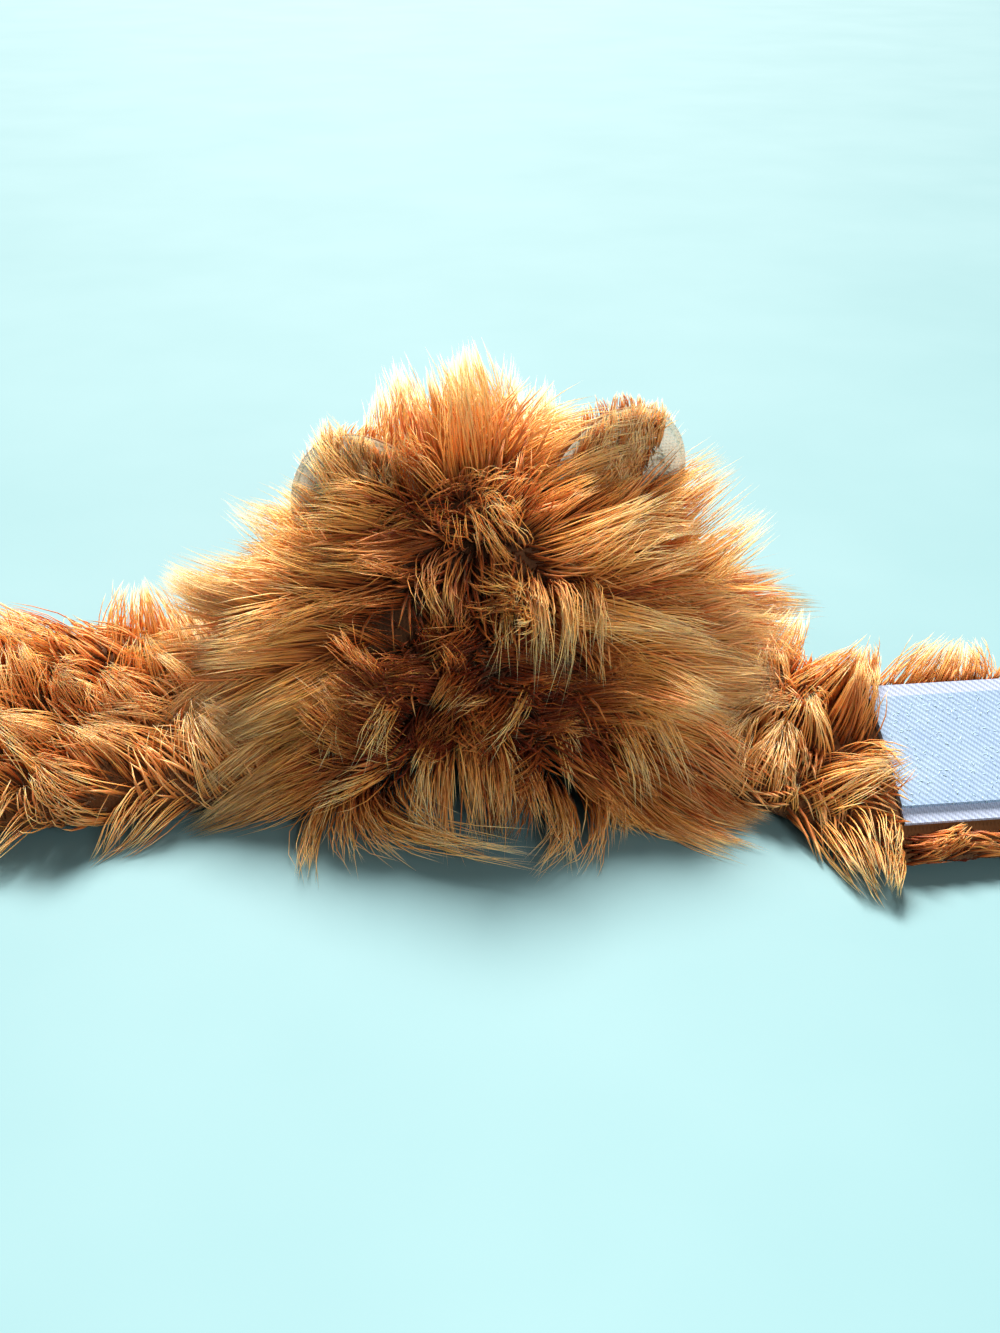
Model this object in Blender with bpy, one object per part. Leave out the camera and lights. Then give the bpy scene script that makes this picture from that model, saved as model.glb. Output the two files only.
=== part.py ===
# Lion mane headpiece for a cat or a small dog, lying open on a table.
#
# A hood of long-pile faux fur stands on its rim, hollow, with the rim lifted in an arch at the face.
# A fur strap runs from each cheek, two rounded ears stand at the crown, and hook-and-loop tape closes
# the straps under the chin. The pile is modelled as locks that grow out of the cells of the fabric.
#
# Metres, +Z up. The face side looks along -Y. Left and right are a viewer's who looks at the face
# side, so right is +X. The origin is the middle of the footprint, on the table.

import math
import random

import bmesh
import bpy
from mathutils import Matrix, Vector
from mathutils.bvhtree import BVHTree

MM = 0.001
UP = Vector((0, 0, 1))
ORDER = Vector((1, 31.7, 1009.3))  # no two parts of a mesh lie equally far this way

# The hood's fabric, in four panels
PANELS = ("crown_panel", "nape_panel", "cheek_left", "cheek_right")
HOOD_CENTRE = Vector((0, 4 * MM, 0))
HOOD_HALF_WIDTH = 56 * MM
HOOD_HALF_DEPTH = 50 * MM
HOOD_HEIGHT = 74 * MM
HOOD_ROUNDNESS = 1.65  # of its upright section: 2 is an ellipse, 1 a tent
FABRIC = 3 * MM
SEAM_GAP = 0.3 * MM
HOOD_CLEARANCE = 0.5 * MM  # for what is sewn to its outside
CELLS = 8  # along one side of the crown panel
CELL_JITTER = 0.05  # of the hood's radius
CELL_SEED = 11
CUBE_TOP = 0.99  # above this a face of the cube with half sides of 1 is on its top
RIM_TOP = 0.01  # of the hood's radius: what is lower is on the rim
LEAST_ACROSS = 1e-6

# The face arch, where the rim lifts off the table
ARCH_MIDDLE_X = -8 * MM
ARCH_HALF_WIDTH = 37 * MM
ARCH_HEIGHT = 22 * MM

# The pile
LOCK_RINGS = ((0.42, 0.86), (0.76, 0.5))  # (share of the lock's length, share of its cell's width)
LOCK_DROOP = 3 * MM
LOW_DROOP = 12 * MM  # more of it for the lowest locks
DROOP_FROM_Z = 40 * MM
LOCK_BASE = 0.3  # of the first ring: up to here a lock may touch its neighbours
LOCK_ROOT = 0.05  # of the first ring: a lock that has grown is solid from here
LENGTH_SPREAD = 0.14
WAY_SPREAD = 0.13
TABLE_CLEAR = 1 * MM
SHORTER = 0.88
LEAST_LOCK = 0.2  # of its length: a lock that has less room than this is left out

# The hood's pile
FUR_HEART = Vector((0, 4 * MM, 16 * MM))  # it stands out from here
PARTING = Vector((-2 * MM, -44 * MM, 44 * MM))  # and is combed away from here
COMBED = 0.45
COMBED_REACH = 45 * MM
CROWN_LOCK = 36 * MM
SIDE_LOCK = 40 * MM
BROW_LIFT = 0.35  # turns the locks over the face arch up, out of its way

# Straps
STRAP_CELL = 12 * MM
STRAP_CELLS_ACROSS = 4
STRAP_BULGE = 3 * MM
STRAP_LOCK_SWEEP = 0.6  # towards the strap's end
STRAP_LOCK_RISE = 0.4
STRAP_ROWS = {
    # x, y of the near edge, y of the far edge, height at the near edge, height at the far edge
    "left": (
        (33, -26, 12, 8, 16),
        (60, -32, 14, 9, 22),
        (90, -38, 11, 10, 28),
        (120, -40, 8, 10, 30),
        (150, -40, 7, 9, 26),
    ),
    "right": (
        (33, -26, 12, 8, 16),
        (60, -48, -2, 9, 24),
        (86, -78, -40, 9, 29),
        (151, -78, -40, 9, 29),
    ),
}
STRAP_LOCKS = {"left": 24 * MM, "right": 18 * MM}
STRAP_SEEDS = {"left": 6, "right": 1}
BARE_FROM_X = 82 * MM  # on the right strap's top and near edge, for the tape
BARE_BELOW_Z = 4 * MM
FACES_DOWN = -0.5  # a normal's Z under this is underneath
FACES_BACK = 0.3  # and a normal's Y over this is behind
FACES_FRONT = -0.5  # and under this in front

# Ears
EAR_WIDTH = 37 * MM
EAR_HEIGHT = 46 * MM
EAR_THICKNESS = 6 * MM
EAR_LINING_THICKNESS = 2.5 * MM
EAR_LINING_SHARE = 0.94  # of the ear's outline
EAR_EDGE = 1 * MM
EAR_CUP = 5 * MM
EAR_CUTS = 7
EAR_TURN = math.radians(14)
EAR_SHARP = math.radians(50)
EARS = {
    # x, y and z of its foot, and its lean to the right
    "left": (-21 * MM, 7 * MM, 38 * MM, math.radians(-16)),
    "right": (24 * MM, 7 * MM, 44 * MM, math.radians(24)),
}

# Hook-and-loop tape
TAPE_LENGTH = 60 * MM
TAPE_WIDTH = 38 * MM
TAPE_EDGE_WIDTH = 4 * MM
TAPE_EDGE_THICKNESS = 0.9 * MM
TAPE_THICKNESS = 2 * MM
LOOP_TAPE_START = 89 * MM
LOOP_TAPE_MARGIN = 2.5 * MM  # of bare fabric above the near edge
HOOK_TAPE_MIDDLE = Vector((-117 * MM, -16 * MM, 0))
HOOK_TAPE_TURN = math.radians(2)

FUR_BROWN = (0.45, 0.19, 0.06, 1)
PLUSH_IVORY = (0.72, 0.66, 0.52, 1)
TAPE_WHITE = (0.82, 0.84, 0.92, 1)
FUR_ROUGHNESS = 0.8
TAPE_ROUGHNESS = 0.7


# Scene, objects and materials


def clear_scene():
    for thing in list(bpy.data.objects):
        bpy.data.objects.remove(thing, do_unlink=True)


def make_collection(name):
    collection = bpy.data.collections.new(name)
    bpy.context.scene.collection.children.link(collection)
    return collection


def make_material(name, colour, roughness):
    material = bpy.data.materials.new(name)
    material.use_nodes = True
    shader = material.node_tree.nodes["Principled BSDF"]
    shader.inputs["Base Color"].default_value = colour
    shader.inputs["Roughness"].default_value = roughness
    shader.inputs["Metallic"].default_value = 0
    return material


def place(name, mesh, collection, material=None, matrix=None):
    thing = bpy.data.objects.new(name, mesh)
    collection.objects.link(thing)
    if material:
        mesh.materials.append(material)
    if matrix:
        thing.matrix_world = matrix
    return thing


def place_bmesh(name, bm, collection, material=None, matrix=None):
    mesh = bpy.data.meshes.new(name)
    bm.to_mesh(mesh)
    bm.free()
    return place(name, mesh, collection, material, matrix)


def settle(bm):
    """Put a mesh's parts in an order that is the same on each run. A part held before is lost."""
    bm.verts.sort(key=lambda vert: vert.co.dot(ORDER))
    bm.edges.sort(key=lambda edge: (edge.verts[0].co + edge.verts[1].co).dot(ORDER))
    bm.faces.sort(key=lambda face: face.calc_center_median().dot(ORDER))


def make_cutter(thing):
    thing.hide_render = True
    thing.display_type = "WIRE"
    return thing


def cut_with(thing, cutter):
    cut = thing.modifiers.new(cutter.name, "BOOLEAN")
    cut.operation = "DIFFERENCE"
    cut.solver = "EXACT"
    cut.object = cutter


def world_mesh(thing):
    """The points and faces of an object as it is evaluated, in world space."""
    bpy.context.view_layer.update()
    solid = thing.evaluated_get(bpy.context.evaluated_depsgraph_get())
    mesh = solid.to_mesh()
    points = [thing.matrix_world @ vert.co for vert in mesh.vertices]
    faces = [face.vertices[:] for face in mesh.polygons]
    solid.to_mesh_clear()
    return points, faces


# The hood's fabric


def hood_point(way, depth=0):
    """The hood's point that way from the middle of its rim, at a depth under the outer surface."""
    across = max(math.hypot(way.x / HOOD_HALF_WIDTH, way.y / HOOD_HALF_DEPTH), LEAST_ACROSS)
    up = max(way.z, 0) / HOOD_HEIGHT
    reach = (across**HOOD_ROUNDNESS + up**HOOD_ROUNDNESS) ** (-1 / HOOD_ROUNDNESS)
    point = way * reach
    flat = (across * reach) ** (HOOD_ROUNDNESS - 2)
    outward = Vector(
        (
            flat * point.x / HOOD_HALF_WIDTH**2,
            flat * point.y / HOOD_HALF_DEPTH**2,
            (up * reach) ** (HOOD_ROUNDNESS - 1) / HOOD_HEIGHT,
        )
    )
    point -= outward.normalized() * depth
    return point + HOOD_CENTRE + UP * arch_lift(point)


def arch_lift(point):
    """How far the face arch lifts this point of the hood."""
    across = (point.x - ARCH_MIDDLE_X) / ARCH_HALF_WIDTH
    if point.y > 0 or abs(across) >= 1:
        return 0
    return ARCH_HEIGHT * (1 - across**2) * max(1 - point.z / HOOD_HEIGHT, 0) ** 2


def panel_at(middle):
    """Which panel holds a face of the cube with this middle."""
    if middle.z > CUBE_TOP:
        return "crown_panel"
    if middle.y > 0:
        return "nape_panel"
    return "cheek_right" if middle.x > 0 else "cheek_left"


def hood_cage():
    """The hood's cells on a half sphere. Each face's material index is its panel's."""
    bm = bmesh.new()
    bmesh.ops.create_cube(bm, size=2)
    bmesh.ops.subdivide_edges(bm, edges=bm.edges, cuts=CELLS - 1, use_grid_fill=True)
    below = [face for face in bm.faces if face.calc_center_median().z < 0]
    bmesh.ops.delete(bm, geom=below, context="FACES")
    for face in bm.faces:
        face.material_index = PANELS.index(panel_at(face.calc_center_median()))
    chance = random.Random(CELL_SEED)
    for vert in bm.verts:
        way = Vector([math.tan(part * math.pi / 4) for part in vert.co]).normalized()
        on_seam = len({face.material_index for face in vert.link_faces}) > 1
        if not on_seam and not vert.is_boundary:
            way += Vector([chance.uniform(-CELL_JITTER, CELL_JITTER) for _ in range(3)])
        vert.co = way.normalized()
    return bm


def cut_out_panel(cage, name):
    """The cage's faces of one panel, drawn in by half a seam's gap where they meet another."""
    bm = cage.copy()
    others = [face for face in bm.faces if PANELS[face.material_index] != name]
    bmesh.ops.delete(bm, geom=others, context="FACES")
    inward = {}
    for edge in bm.edges:
        on_rim = max(vert.co.z for vert in edge.verts) < RIM_TOP
        if not edge.is_boundary or on_rim:
            continue
        start = edge.verts[0].co
        along = (edge.verts[1].co - start).normalized()
        aside = edge.link_faces[0].calc_center_median() - start
        aside = (aside - along * aside.dot(along)).normalized()
        for vert in edge.verts:
            inward[vert] = inward.get(vert, Vector()) + aside
    for vert, aside in inward.items():
        on_rim = vert.co.z < RIM_TOP
        vert.co += aside.normalized() * SEAM_GAP / 2 / HOOD_HALF_DEPTH
        if on_rim:
            vert.co.z = 0
    for face in bm.faces:
        face.material_index = 0
    return bm


def make_wall(bm):
    """Give a panel its thickness and its place on the hood. Returns its outer cells."""
    outside = list(bm.faces)
    made = bmesh.ops.extrude_face_region(bm, geom=outside, use_keep_orig=True)
    for face in outside:
        face.material_index = 1
    inner = {part for part in made["geom"] if isinstance(part, bmesh.types.BMVert)}
    for vert in bm.verts:
        vert.co = hood_point(vert.co, FABRIC if vert in inner else 0)
    settle(bm)
    bmesh.ops.recalc_face_normals(bm, faces=bm.faces)
    cells = [face for face in bm.faces if face.material_index]
    for face in cells:
        face.material_index = 0
    return cells


def clearance_cutter(cage, collection):
    """The room that the hood takes, down through the table, for what is sewn to its outside."""
    bm = cage.copy()
    for vert in bm.verts:
        vert.co = hood_point(vert.co, -HOOD_CLEARANCE)
    rim = [edge for edge in bm.edges if edge.is_boundary]
    made = bmesh.ops.extrude_edge_only(bm, edges=rim)["geom"]
    for part in made:
        if isinstance(part, bmesh.types.BMVert):
            part.co.z = -FABRIC
    lowest = [part for part in made if isinstance(part, bmesh.types.BMEdge) and part.is_boundary]
    bmesh.ops.contextual_create(bm, geom=lowest)
    for face in bm.faces:
        face.material_index = 0
    settle(bm)
    bmesh.ops.recalc_face_normals(bm, faces=bm.faces)
    return make_cutter(place_bmesh("hood_room", bm, collection))


# Locks of pile


class Surroundings:
    """What a new lock keeps clear of: other bodies, the hood's walls, and locks that grew before."""

    def __init__(self, bodies):
        self.bodies = bodies
        self.walls = []
        self.locks = []

    def leave_room(self, face, rings):
        whole = lock_tree(face, rings, 0)
        outer = lock_tree(face, rings, LOCK_BASE)
        blocked = any(body.overlap(whole) for body in self.bodies)
        blocked = blocked or any(is_inside(body, rings[-1][0]) for body in self.bodies)
        return not (blocked or any(tree.overlap(outer) for tree in self.walls + self.locks))


def is_inside(body, point):
    nearest, normal = body.find_nearest(point)[:2]
    return (point - nearest).dot(normal) < 0


def lock_rings(face, way, length):
    """The rings of the lock that grows out of a face, from its corners to its tip."""
    middle = face.calc_center_median()
    droop = LOCK_DROOP + LOW_DROOP * max(1 - middle.z / DROOP_FROM_Z, 0)
    rings = []
    for share, width in LOCK_RINGS + ((1, 0),):
        centre = middle + way * length * share - UP * droop * share**2
        ring = [centre + (vert.co - middle) * width for vert in face.verts]
        sunk = max(TABLE_CLEAR - min(point.z for point in ring), 0)
        rings.append([point + UP * sunk for point in ring])
    return rings


def lock_tree(face, rings, start):
    """The lock's surface, from a share of its first ring."""
    base = [vert.co.lerp(point, start) for vert, point in zip(face.verts, rings[0])]
    points = [point for ring in [base] + rings for point in ring]
    count = len(base)
    faces = []
    for first in range(0, count * len(rings), count):
        for side in range(count):
            after = (side + 1) % count
            faces.append((first + side, first + after, first + count + after, first + count + side))
    return BVHTree.FromPolygons(points, faces)


def grow_lock(bm, face, way, length, around):
    """Grow a lock out of a face, as long as there is room for, and add it to what is around."""
    share = 1
    while share > LEAST_LOCK:
        rings = lock_rings(face, way, length * share)
        if around.leave_room(face, rings):
            break
        share *= SHORTER
    else:
        return
    around.locks.append(lock_tree(face, rings, LOCK_ROOT))
    for ring in rings[:-1]:
        face = bmesh.ops.extrude_discrete_faces(bm, faces=[face])["faces"][0]
        for vert, point in zip(face.verts, ring):
            vert.co = point
    tip = bmesh.ops.poke(bm, faces=[face])["verts"][0]
    tip.co = rings[-1][0]


def astray(way, chance):
    return (way + Vector([chance.gauss(0, WAY_SPREAD) for _ in range(3)])).normalized()


def hood_lock_way(middle):
    """The way that the pile stands at a point of the hood."""
    combed = middle - PARTING
    fade = math.exp(-((combed.length / COMBED_REACH) ** 2))
    way = (middle - FUR_HEART).normalized() + combed.normalized() * COMBED * fade
    over_arch = arch_lift(middle - HOOD_CENTRE) / ARCH_HEIGHT
    return (way + UP * BROW_LIFT * over_arch).normalized()


def grow_hood_pile(bm, cells, around, chance):
    for face in sorted(cells, key=lambda cell: -cell.calc_center_median().z):
        middle = face.calc_center_median()
        lowness = 1 - middle.z / HOOD_HEIGHT
        length = CROWN_LOCK + (SIDE_LOCK - CROWN_LOCK) * lowness
        length *= 1 + chance.uniform(-LENGTH_SPREAD, LENGTH_SPREAD)
        grow_lock(bm, face, astray(hood_lock_way(middle), chance), length, around)


# Straps


def strap_columns(side):
    """The rows of the strap's table in metres, with a row more for each cell between them."""
    rows = [[size * MM for size in row] for row in STRAP_ROWS[side]]
    columns = []
    for row, after in zip(rows, rows[1:]):
        cells = round((after[0] - row[0]) / STRAP_CELL)
        for cell in range(cells):
            columns.append([a + (b - a) * cell / cells for a, b in zip(row, after)])
    return columns + [rows[-1]]


def strap_point(columns, column, across, level, mirrored):
    """A point of the strap. Its level is 1 on top, 0.5 half way up and 0 underneath."""
    x, near_y, far_y, near_height, far_height = columns[column]
    y = near_y + (far_y - near_y) * across
    z = (near_height + (far_height - near_height) * across) * level
    if level == 0.5:
        x += STRAP_BULGE / 2 if column == len(columns) - 1 else 0
        y += STRAP_BULGE * ((across == 1) - (across == 0))
    return Vector((-x if mirrored else x, y, z))


def make_strap(side):
    """The strap's plain body: its top's cells, drawn down in two steps to the table."""
    columns = strap_columns(side)
    bm = bmesh.new()
    long = len(columns) - 1
    bmesh.ops.create_grid(bm, x_segments=long, y_segments=STRAP_CELLS_ACROSS, size=1)
    level = {vert: 1 for vert in bm.verts}
    made = bmesh.ops.extrude_face_region(bm, geom=bm.faces, use_keep_orig=True)["geom"]
    level.update({part: 0.5 for part in made if isinstance(part, bmesh.types.BMVert)})
    made = bmesh.ops.extrude_face_region(bm, geom=made)["geom"]
    level.update({part: 0 for part in made if isinstance(part, bmesh.types.BMVert)})
    for vert in bm.verts:
        column = round((vert.co.x + 1) / 2 * long)
        across = round((vert.co.y + 1) / 2 * STRAP_CELLS_ACROSS) / STRAP_CELLS_ACROSS
        vert.co = strap_point(columns, column, across, level[vert], side == "left")
    settle(bm)
    bmesh.ops.recalc_face_normals(bm, faces=bm.faces)
    return bm


def is_furred(face, side, hood_room):
    """Whether locks grow on this face of a strap."""
    middle = face.calc_center_median()
    underneath = face.normal.z < FACES_DOWN or middle.z < BARE_BELOW_Z
    taped = side == "right" and middle.x > BARE_FROM_X and face.normal.y < FACES_BACK
    return not (underneath or taped or is_inside(hood_room, middle))


def strap_lock_way(normal, side):
    """The way of the pile on a face of a strap: out, towards the strap's end, and up unless in front."""
    way = normal + Vector((-1 if side == "left" else 1, 0, 0)) * STRAP_LOCK_SWEEP
    if normal.y > FACES_FRONT:
        way += UP * STRAP_LOCK_RISE
    return way.normalized()


def grow_strap_pile(bm, side, hood_room, around):
    chance = random.Random(STRAP_SEEDS[side])
    furred = [face for face in bm.faces if is_furred(face, side, hood_room)]
    for face in sorted(furred, key=lambda cell: -cell.calc_center_median().z):
        way = astray(strap_lock_way(face.normal, side), chance)
        length = STRAP_LOCKS[side] * (1 + chance.uniform(-LENGTH_SPREAD, LENGTH_SPREAD))
        grow_lock(bm, face, way, length, around)


# Ears


def ear_point(corner, outline, thickness, facing):
    """A corner of the cube, moved to one layer of the ear. The layers meet at a cupped surface."""
    x = corner.x * math.sqrt(1 - corner.y**2 / 2)
    z = corner.y * math.sqrt(1 - corner.x**2 / 2)
    from_middle = math.hypot(x, z)
    cup = -EAR_CUP * from_middle**2 * outline**2
    full = EAR_EDGE + (thickness - EAR_EDGE) * math.sqrt(max(1 - from_middle**4, 0))
    away = SEAM_GAP / 2 + full * (corner.z + 1) / 2
    return Vector(
        (
            x * EAR_WIDTH / 2 * outline,
            cup + away * facing,
            z * EAR_HEIGHT / 2 * outline + EAR_HEIGHT / 2,
        )
    )


def make_ear_layer(name, side, outline, thickness, facing, collection, material):
    bm = bmesh.new()
    bmesh.ops.create_cube(bm, size=2)
    through = {edge for edge in bm.edges if abs(edge.verts[0].co.z - edge.verts[1].co.z) > 1}
    flat = [edge for edge in bm.edges if edge not in through]
    bmesh.ops.subdivide_edges(bm, edges=flat, cuts=EAR_CUTS, use_grid_fill=True)
    for vert in bm.verts:
        vert.co = ear_point(vert.co, outline, thickness, facing)
    bmesh.ops.recalc_face_normals(bm, faces=bm.faces)
    x, y, z, lean = EARS[side]
    matrix = (
        Matrix.Translation((x, y, z))
        @ Matrix.Rotation(lean, 4, "Y")
        @ Matrix.Rotation(math.copysign(EAR_TURN, x), 4, "Z")
    )
    thing = place_bmesh(name, bm, collection, material, matrix)
    thing.data.shade_smooth()
    thing.data.set_sharp_from_angle(angle=EAR_SHARP)
    return thing


# Hook-and-loop tape


def make_tape(name, collection, material, matrix):
    """Tape with thin woven edges, along its own Z, with its pile side towards its own +Y."""
    edge = TAPE_WIDTH / 2
    pile = edge - TAPE_EDGE_WIDTH
    outline = (
        (-edge, 0),
        (edge, 0),
        (edge, TAPE_EDGE_THICKNESS),
        (pile, TAPE_EDGE_THICKNESS),
        (pile, TAPE_THICKNESS),
        (-pile, TAPE_THICKNESS),
        (-pile, TAPE_EDGE_THICKNESS),
        (-edge, TAPE_EDGE_THICKNESS),
    )
    curve = bpy.data.curves.new(name, "CURVE")
    curve.dimensions = "2D"
    curve.fill_mode = "BOTH"
    curve.extrude = TAPE_LENGTH / 2
    spline = curve.splines.new("POLY")
    spline.points.add(len(outline) - 1)
    for point, (across, up) in zip(spline.points, outline):
        point.co = (across, up, 0, 1)
    spline.use_cyclic_u = True
    return place(name, curve, collection, material, matrix)


def on_face(middle, along, normal):
    """The matrix of a tape that lies at this place, along one way, with its pile along the other."""
    across = normal.cross(along)
    return Matrix.Translation(middle) @ Matrix((across, normal, along)).transposed().to_4x4()


def loop_tape_matrix():
    """On the right strap's top, which is flat between the last two rows of its table."""
    first, last = [[size * MM for size in row] for row in STRAP_ROWS["right"][-2:]]
    near = Vector((first[0], first[1], first[3]))
    along = Vector((last[0] - first[0], last[1] - first[1], last[3] - first[3])).normalized()
    slope = Vector((0, first[2] - first[1], first[4] - first[3]))
    normal = along.cross(slope).normalized()
    upward = normal.cross(along)
    middle = near + along * (LOOP_TAPE_START - first[0] + TAPE_LENGTH / 2)
    middle += upward * (LOOP_TAPE_MARGIN + TAPE_WIDTH / 2) + normal * SEAM_GAP
    return on_face(middle, along, normal)


def hook_tape_matrix():
    """Under the left strap, with its hooks on the table."""
    along = Vector((-math.cos(HOOK_TAPE_TURN), -math.sin(HOOK_TAPE_TURN), 0))
    return on_face(HOOK_TAPE_MIDDLE + UP * TAPE_THICKNESS, along, -UP)


def recess_cutter(matrix, collection):
    """The room of the tape under the left strap, with its gap, down through the table."""
    bm = bmesh.new()
    sides = (TAPE_WIDTH + 2 * SEAM_GAP, 2 * (TAPE_THICKNESS + SEAM_GAP), TAPE_LENGTH + 2 * SEAM_GAP)
    bmesh.ops.create_cube(bm, size=1, matrix=Matrix.Diagonal(sides).to_4x4())
    flush = matrix @ Matrix.Translation((0, TAPE_THICKNESS, 0))
    return make_cutter(place_bmesh("hook_tape_room", bm, collection, matrix=flush))


# The whole headpiece


def build_ears(model):
    ears = []
    for side in EARS:
        name = "ear_" + side
        fur = make_material(name + "_fur", FUR_BROWN, FUR_ROUGHNESS)
        plush = make_material(name + "_plush", PLUSH_IVORY, FUR_ROUGHNESS)
        ears.append(make_ear_layer(name, side, 1, EAR_THICKNESS, 1, model, fur))
        lining = name + "_lining"
        share = EAR_LINING_SHARE
        ears.append(make_ear_layer(lining, side, share, EAR_LINING_THICKNESS, -1, model, plush))
    return ears


def build_tapes(model):
    loop_white = make_material("loop_tape_white", TAPE_WHITE, TAPE_ROUGHNESS)
    hook_white = make_material("hook_tape_white", TAPE_WHITE, TAPE_ROUGHNESS)
    loop_tape = make_tape("loop_tape", model, loop_white, loop_tape_matrix())
    make_tape("hook_tape", model, hook_white, hook_tape_matrix())
    return loop_tape


def build_hood(cage, model, around):
    walls = {}
    for name in PANELS:
        bm = cut_out_panel(cage, name)
        cells = make_wall(bm)
        around.walls.append(BVHTree.FromBMesh(bm))
        walls[name] = (bm, cells)
    for name, (bm, cells) in walls.items():
        grow_hood_pile(bm, cells, around, random.Random(name))
        place_bmesh(name, bm, model, make_material(name + "_fur", FUR_BROWN, FUR_ROUGHNESS))


def build_headpiece():
    clear_scene()
    model = make_collection("pet_lion_headpiece")
    cutters = make_collection("cutters")
    cage = hood_cage()
    room = clearance_cutter(cage, cutters)
    ears = build_ears(model)
    loop_tape = build_tapes(model)
    straps = {side: make_strap(side) for side in STRAP_ROWS}
    strap_trees = [BVHTree.FromBMesh(bm) for bm in straps.values()]
    bodies = [BVHTree.FromPolygons(*world_mesh(thing)) for thing in ears + [loop_tape]]
    around = Surroundings(bodies + strap_trees)
    build_hood(cage, model, around)
    around.bodies = bodies
    around.walls += strap_trees
    hood_room = BVHTree.FromPolygons(*world_mesh(room))
    for side, bm in straps.items():
        name = "strap_" + side
        grow_strap_pile(bm, side, hood_room, around)
        strap = place_bmesh(name, bm, model, make_material(name + "_fur", FUR_BROWN, FUR_ROUGHNESS))
        cut_with(strap, room)
        if side == "left":
            cut_with(strap, recess_cutter(hook_tape_matrix(), cutters))
    for ear in ears:
        cut_with(ear, room)
    centre_on_table(model, cutters)


def centre_on_table(*collections):
    """Move everything so that the origin is the middle of the model's footprint."""
    points = [point for thing in collections[0].objects for point in world_mesh(thing)[0]]
    middle = [
        (min(point[axis] for point in points) + max(point[axis] for point in points)) / 2
        for axis in range(2)
    ]
    for collection in collections:
        for thing in collection.objects:
            thing.matrix_world.translation -= Vector((*middle, 0))


build_headpiece()
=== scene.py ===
"""Dresses the pet lion headpiece: long faux-fur pile on a cloth hood and two straps, plush ears, loop tape.

Metres, +Z up, the face side towards -Y. Left and right are as seen from the face side.
"""

import math

import bpy
import numpy as np
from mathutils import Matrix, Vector


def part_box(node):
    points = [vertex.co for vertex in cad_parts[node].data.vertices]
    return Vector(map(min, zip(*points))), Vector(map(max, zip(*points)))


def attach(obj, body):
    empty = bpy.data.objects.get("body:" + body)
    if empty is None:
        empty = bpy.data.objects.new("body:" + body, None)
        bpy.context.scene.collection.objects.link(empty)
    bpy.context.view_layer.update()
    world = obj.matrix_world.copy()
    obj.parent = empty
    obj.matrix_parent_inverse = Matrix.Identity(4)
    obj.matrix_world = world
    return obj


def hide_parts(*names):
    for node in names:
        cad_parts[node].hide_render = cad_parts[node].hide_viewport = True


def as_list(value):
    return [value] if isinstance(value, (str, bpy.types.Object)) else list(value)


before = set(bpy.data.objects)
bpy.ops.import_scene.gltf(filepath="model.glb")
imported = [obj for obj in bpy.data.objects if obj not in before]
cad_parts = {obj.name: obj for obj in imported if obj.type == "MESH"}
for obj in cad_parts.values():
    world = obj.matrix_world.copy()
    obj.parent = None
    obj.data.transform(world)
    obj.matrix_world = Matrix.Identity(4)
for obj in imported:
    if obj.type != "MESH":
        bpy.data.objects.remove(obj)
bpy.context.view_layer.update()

MM = 0.001
TURN = 2 * math.pi
UP = np.array((0.0, 0.0, 1.0))

# The part's own measures start from the middle of the hood's rim. The tape's low corner says where that is.
TAPE_LOW_X = 89.0 * MM
TAPE_LOW_Y = -76.366 * MM
tape_low, tape_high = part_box("loop_tape")
SHIFT = np.array((tape_low.x - TAPE_LOW_X, tape_low.y - TAPE_LOW_Y, 0.0))


# Camera, floor and light

CAMERA_AIM = np.array((5 * MM, 0, 17.6 * MM)) + SHIFT
CAMERA_AZIMUTH = math.radians(-7)
CAMERA_ELEVATION = math.radians(27.5)
CAMERA_DISTANCE = 0.42
SENSOR_WIDTH = 36
FOCAL_PIXELS = 1596
IMAGE_WIDTH = 1000
NEAREST_SEEN = 0.01


def add_object(name, data):
    thing = bpy.data.objects.new(name, data)
    bpy.context.scene.collection.objects.link(thing)
    return thing


def look_from(thing, back):
    """Turn a camera or a light so that what it looks at lies the other way."""
    thing.rotation_mode = "QUATERNION"
    thing.rotation_quaternion = back.to_track_quat("Z", "Y")


def make_camera():
    data = bpy.data.cameras.new("camera")
    data.sensor_fit = "HORIZONTAL"
    data.sensor_width = SENSOR_WIDTH
    data.lens = SENSOR_WIDTH * FOCAL_PIXELS / IMAGE_WIDTH
    data.clip_start = NEAREST_SEEN
    camera = add_object("camera", data)
    level = math.cos(CAMERA_ELEVATION)
    right, behind = math.sin(CAMERA_AZIMUTH) * level, -math.cos(CAMERA_AZIMUTH) * level
    back = Vector((right, behind, math.sin(CAMERA_ELEVATION)))
    camera.location = Vector(CAMERA_AIM) + back * CAMERA_DISTANCE
    look_from(camera, back)
    bpy.context.scene.camera = camera


SUN_FROM = (0.03, 0.6, 0.8)
SUN_SPREAD = math.radians(24)
SUN_STRENGTH = 11.0
SUN_COLOUR = (1.0, 0.98, 0.94)
FILL_PLACE = (0.25, -0.85, 0.42)
FILL_AIM = (0, 0, 0.04)
FILL_SIZE = 0.3
FILL_WATTS = 4.4
FILL_COLOUR = (1.0, 0.98, 0.95)
WORLD_COLOUR = (0.85, 0.94, 1.0, 1)
WORLD_STRENGTH = 0.16


def make_light(name, kind, energy, colour, place, aim):
    data = bpy.data.lights.new(name, kind)
    data.energy = energy
    data.color = colour
    light = add_object(name, data)
    light.location = place
    look_from(light, Vector(place) - Vector(aim))
    return data


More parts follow.
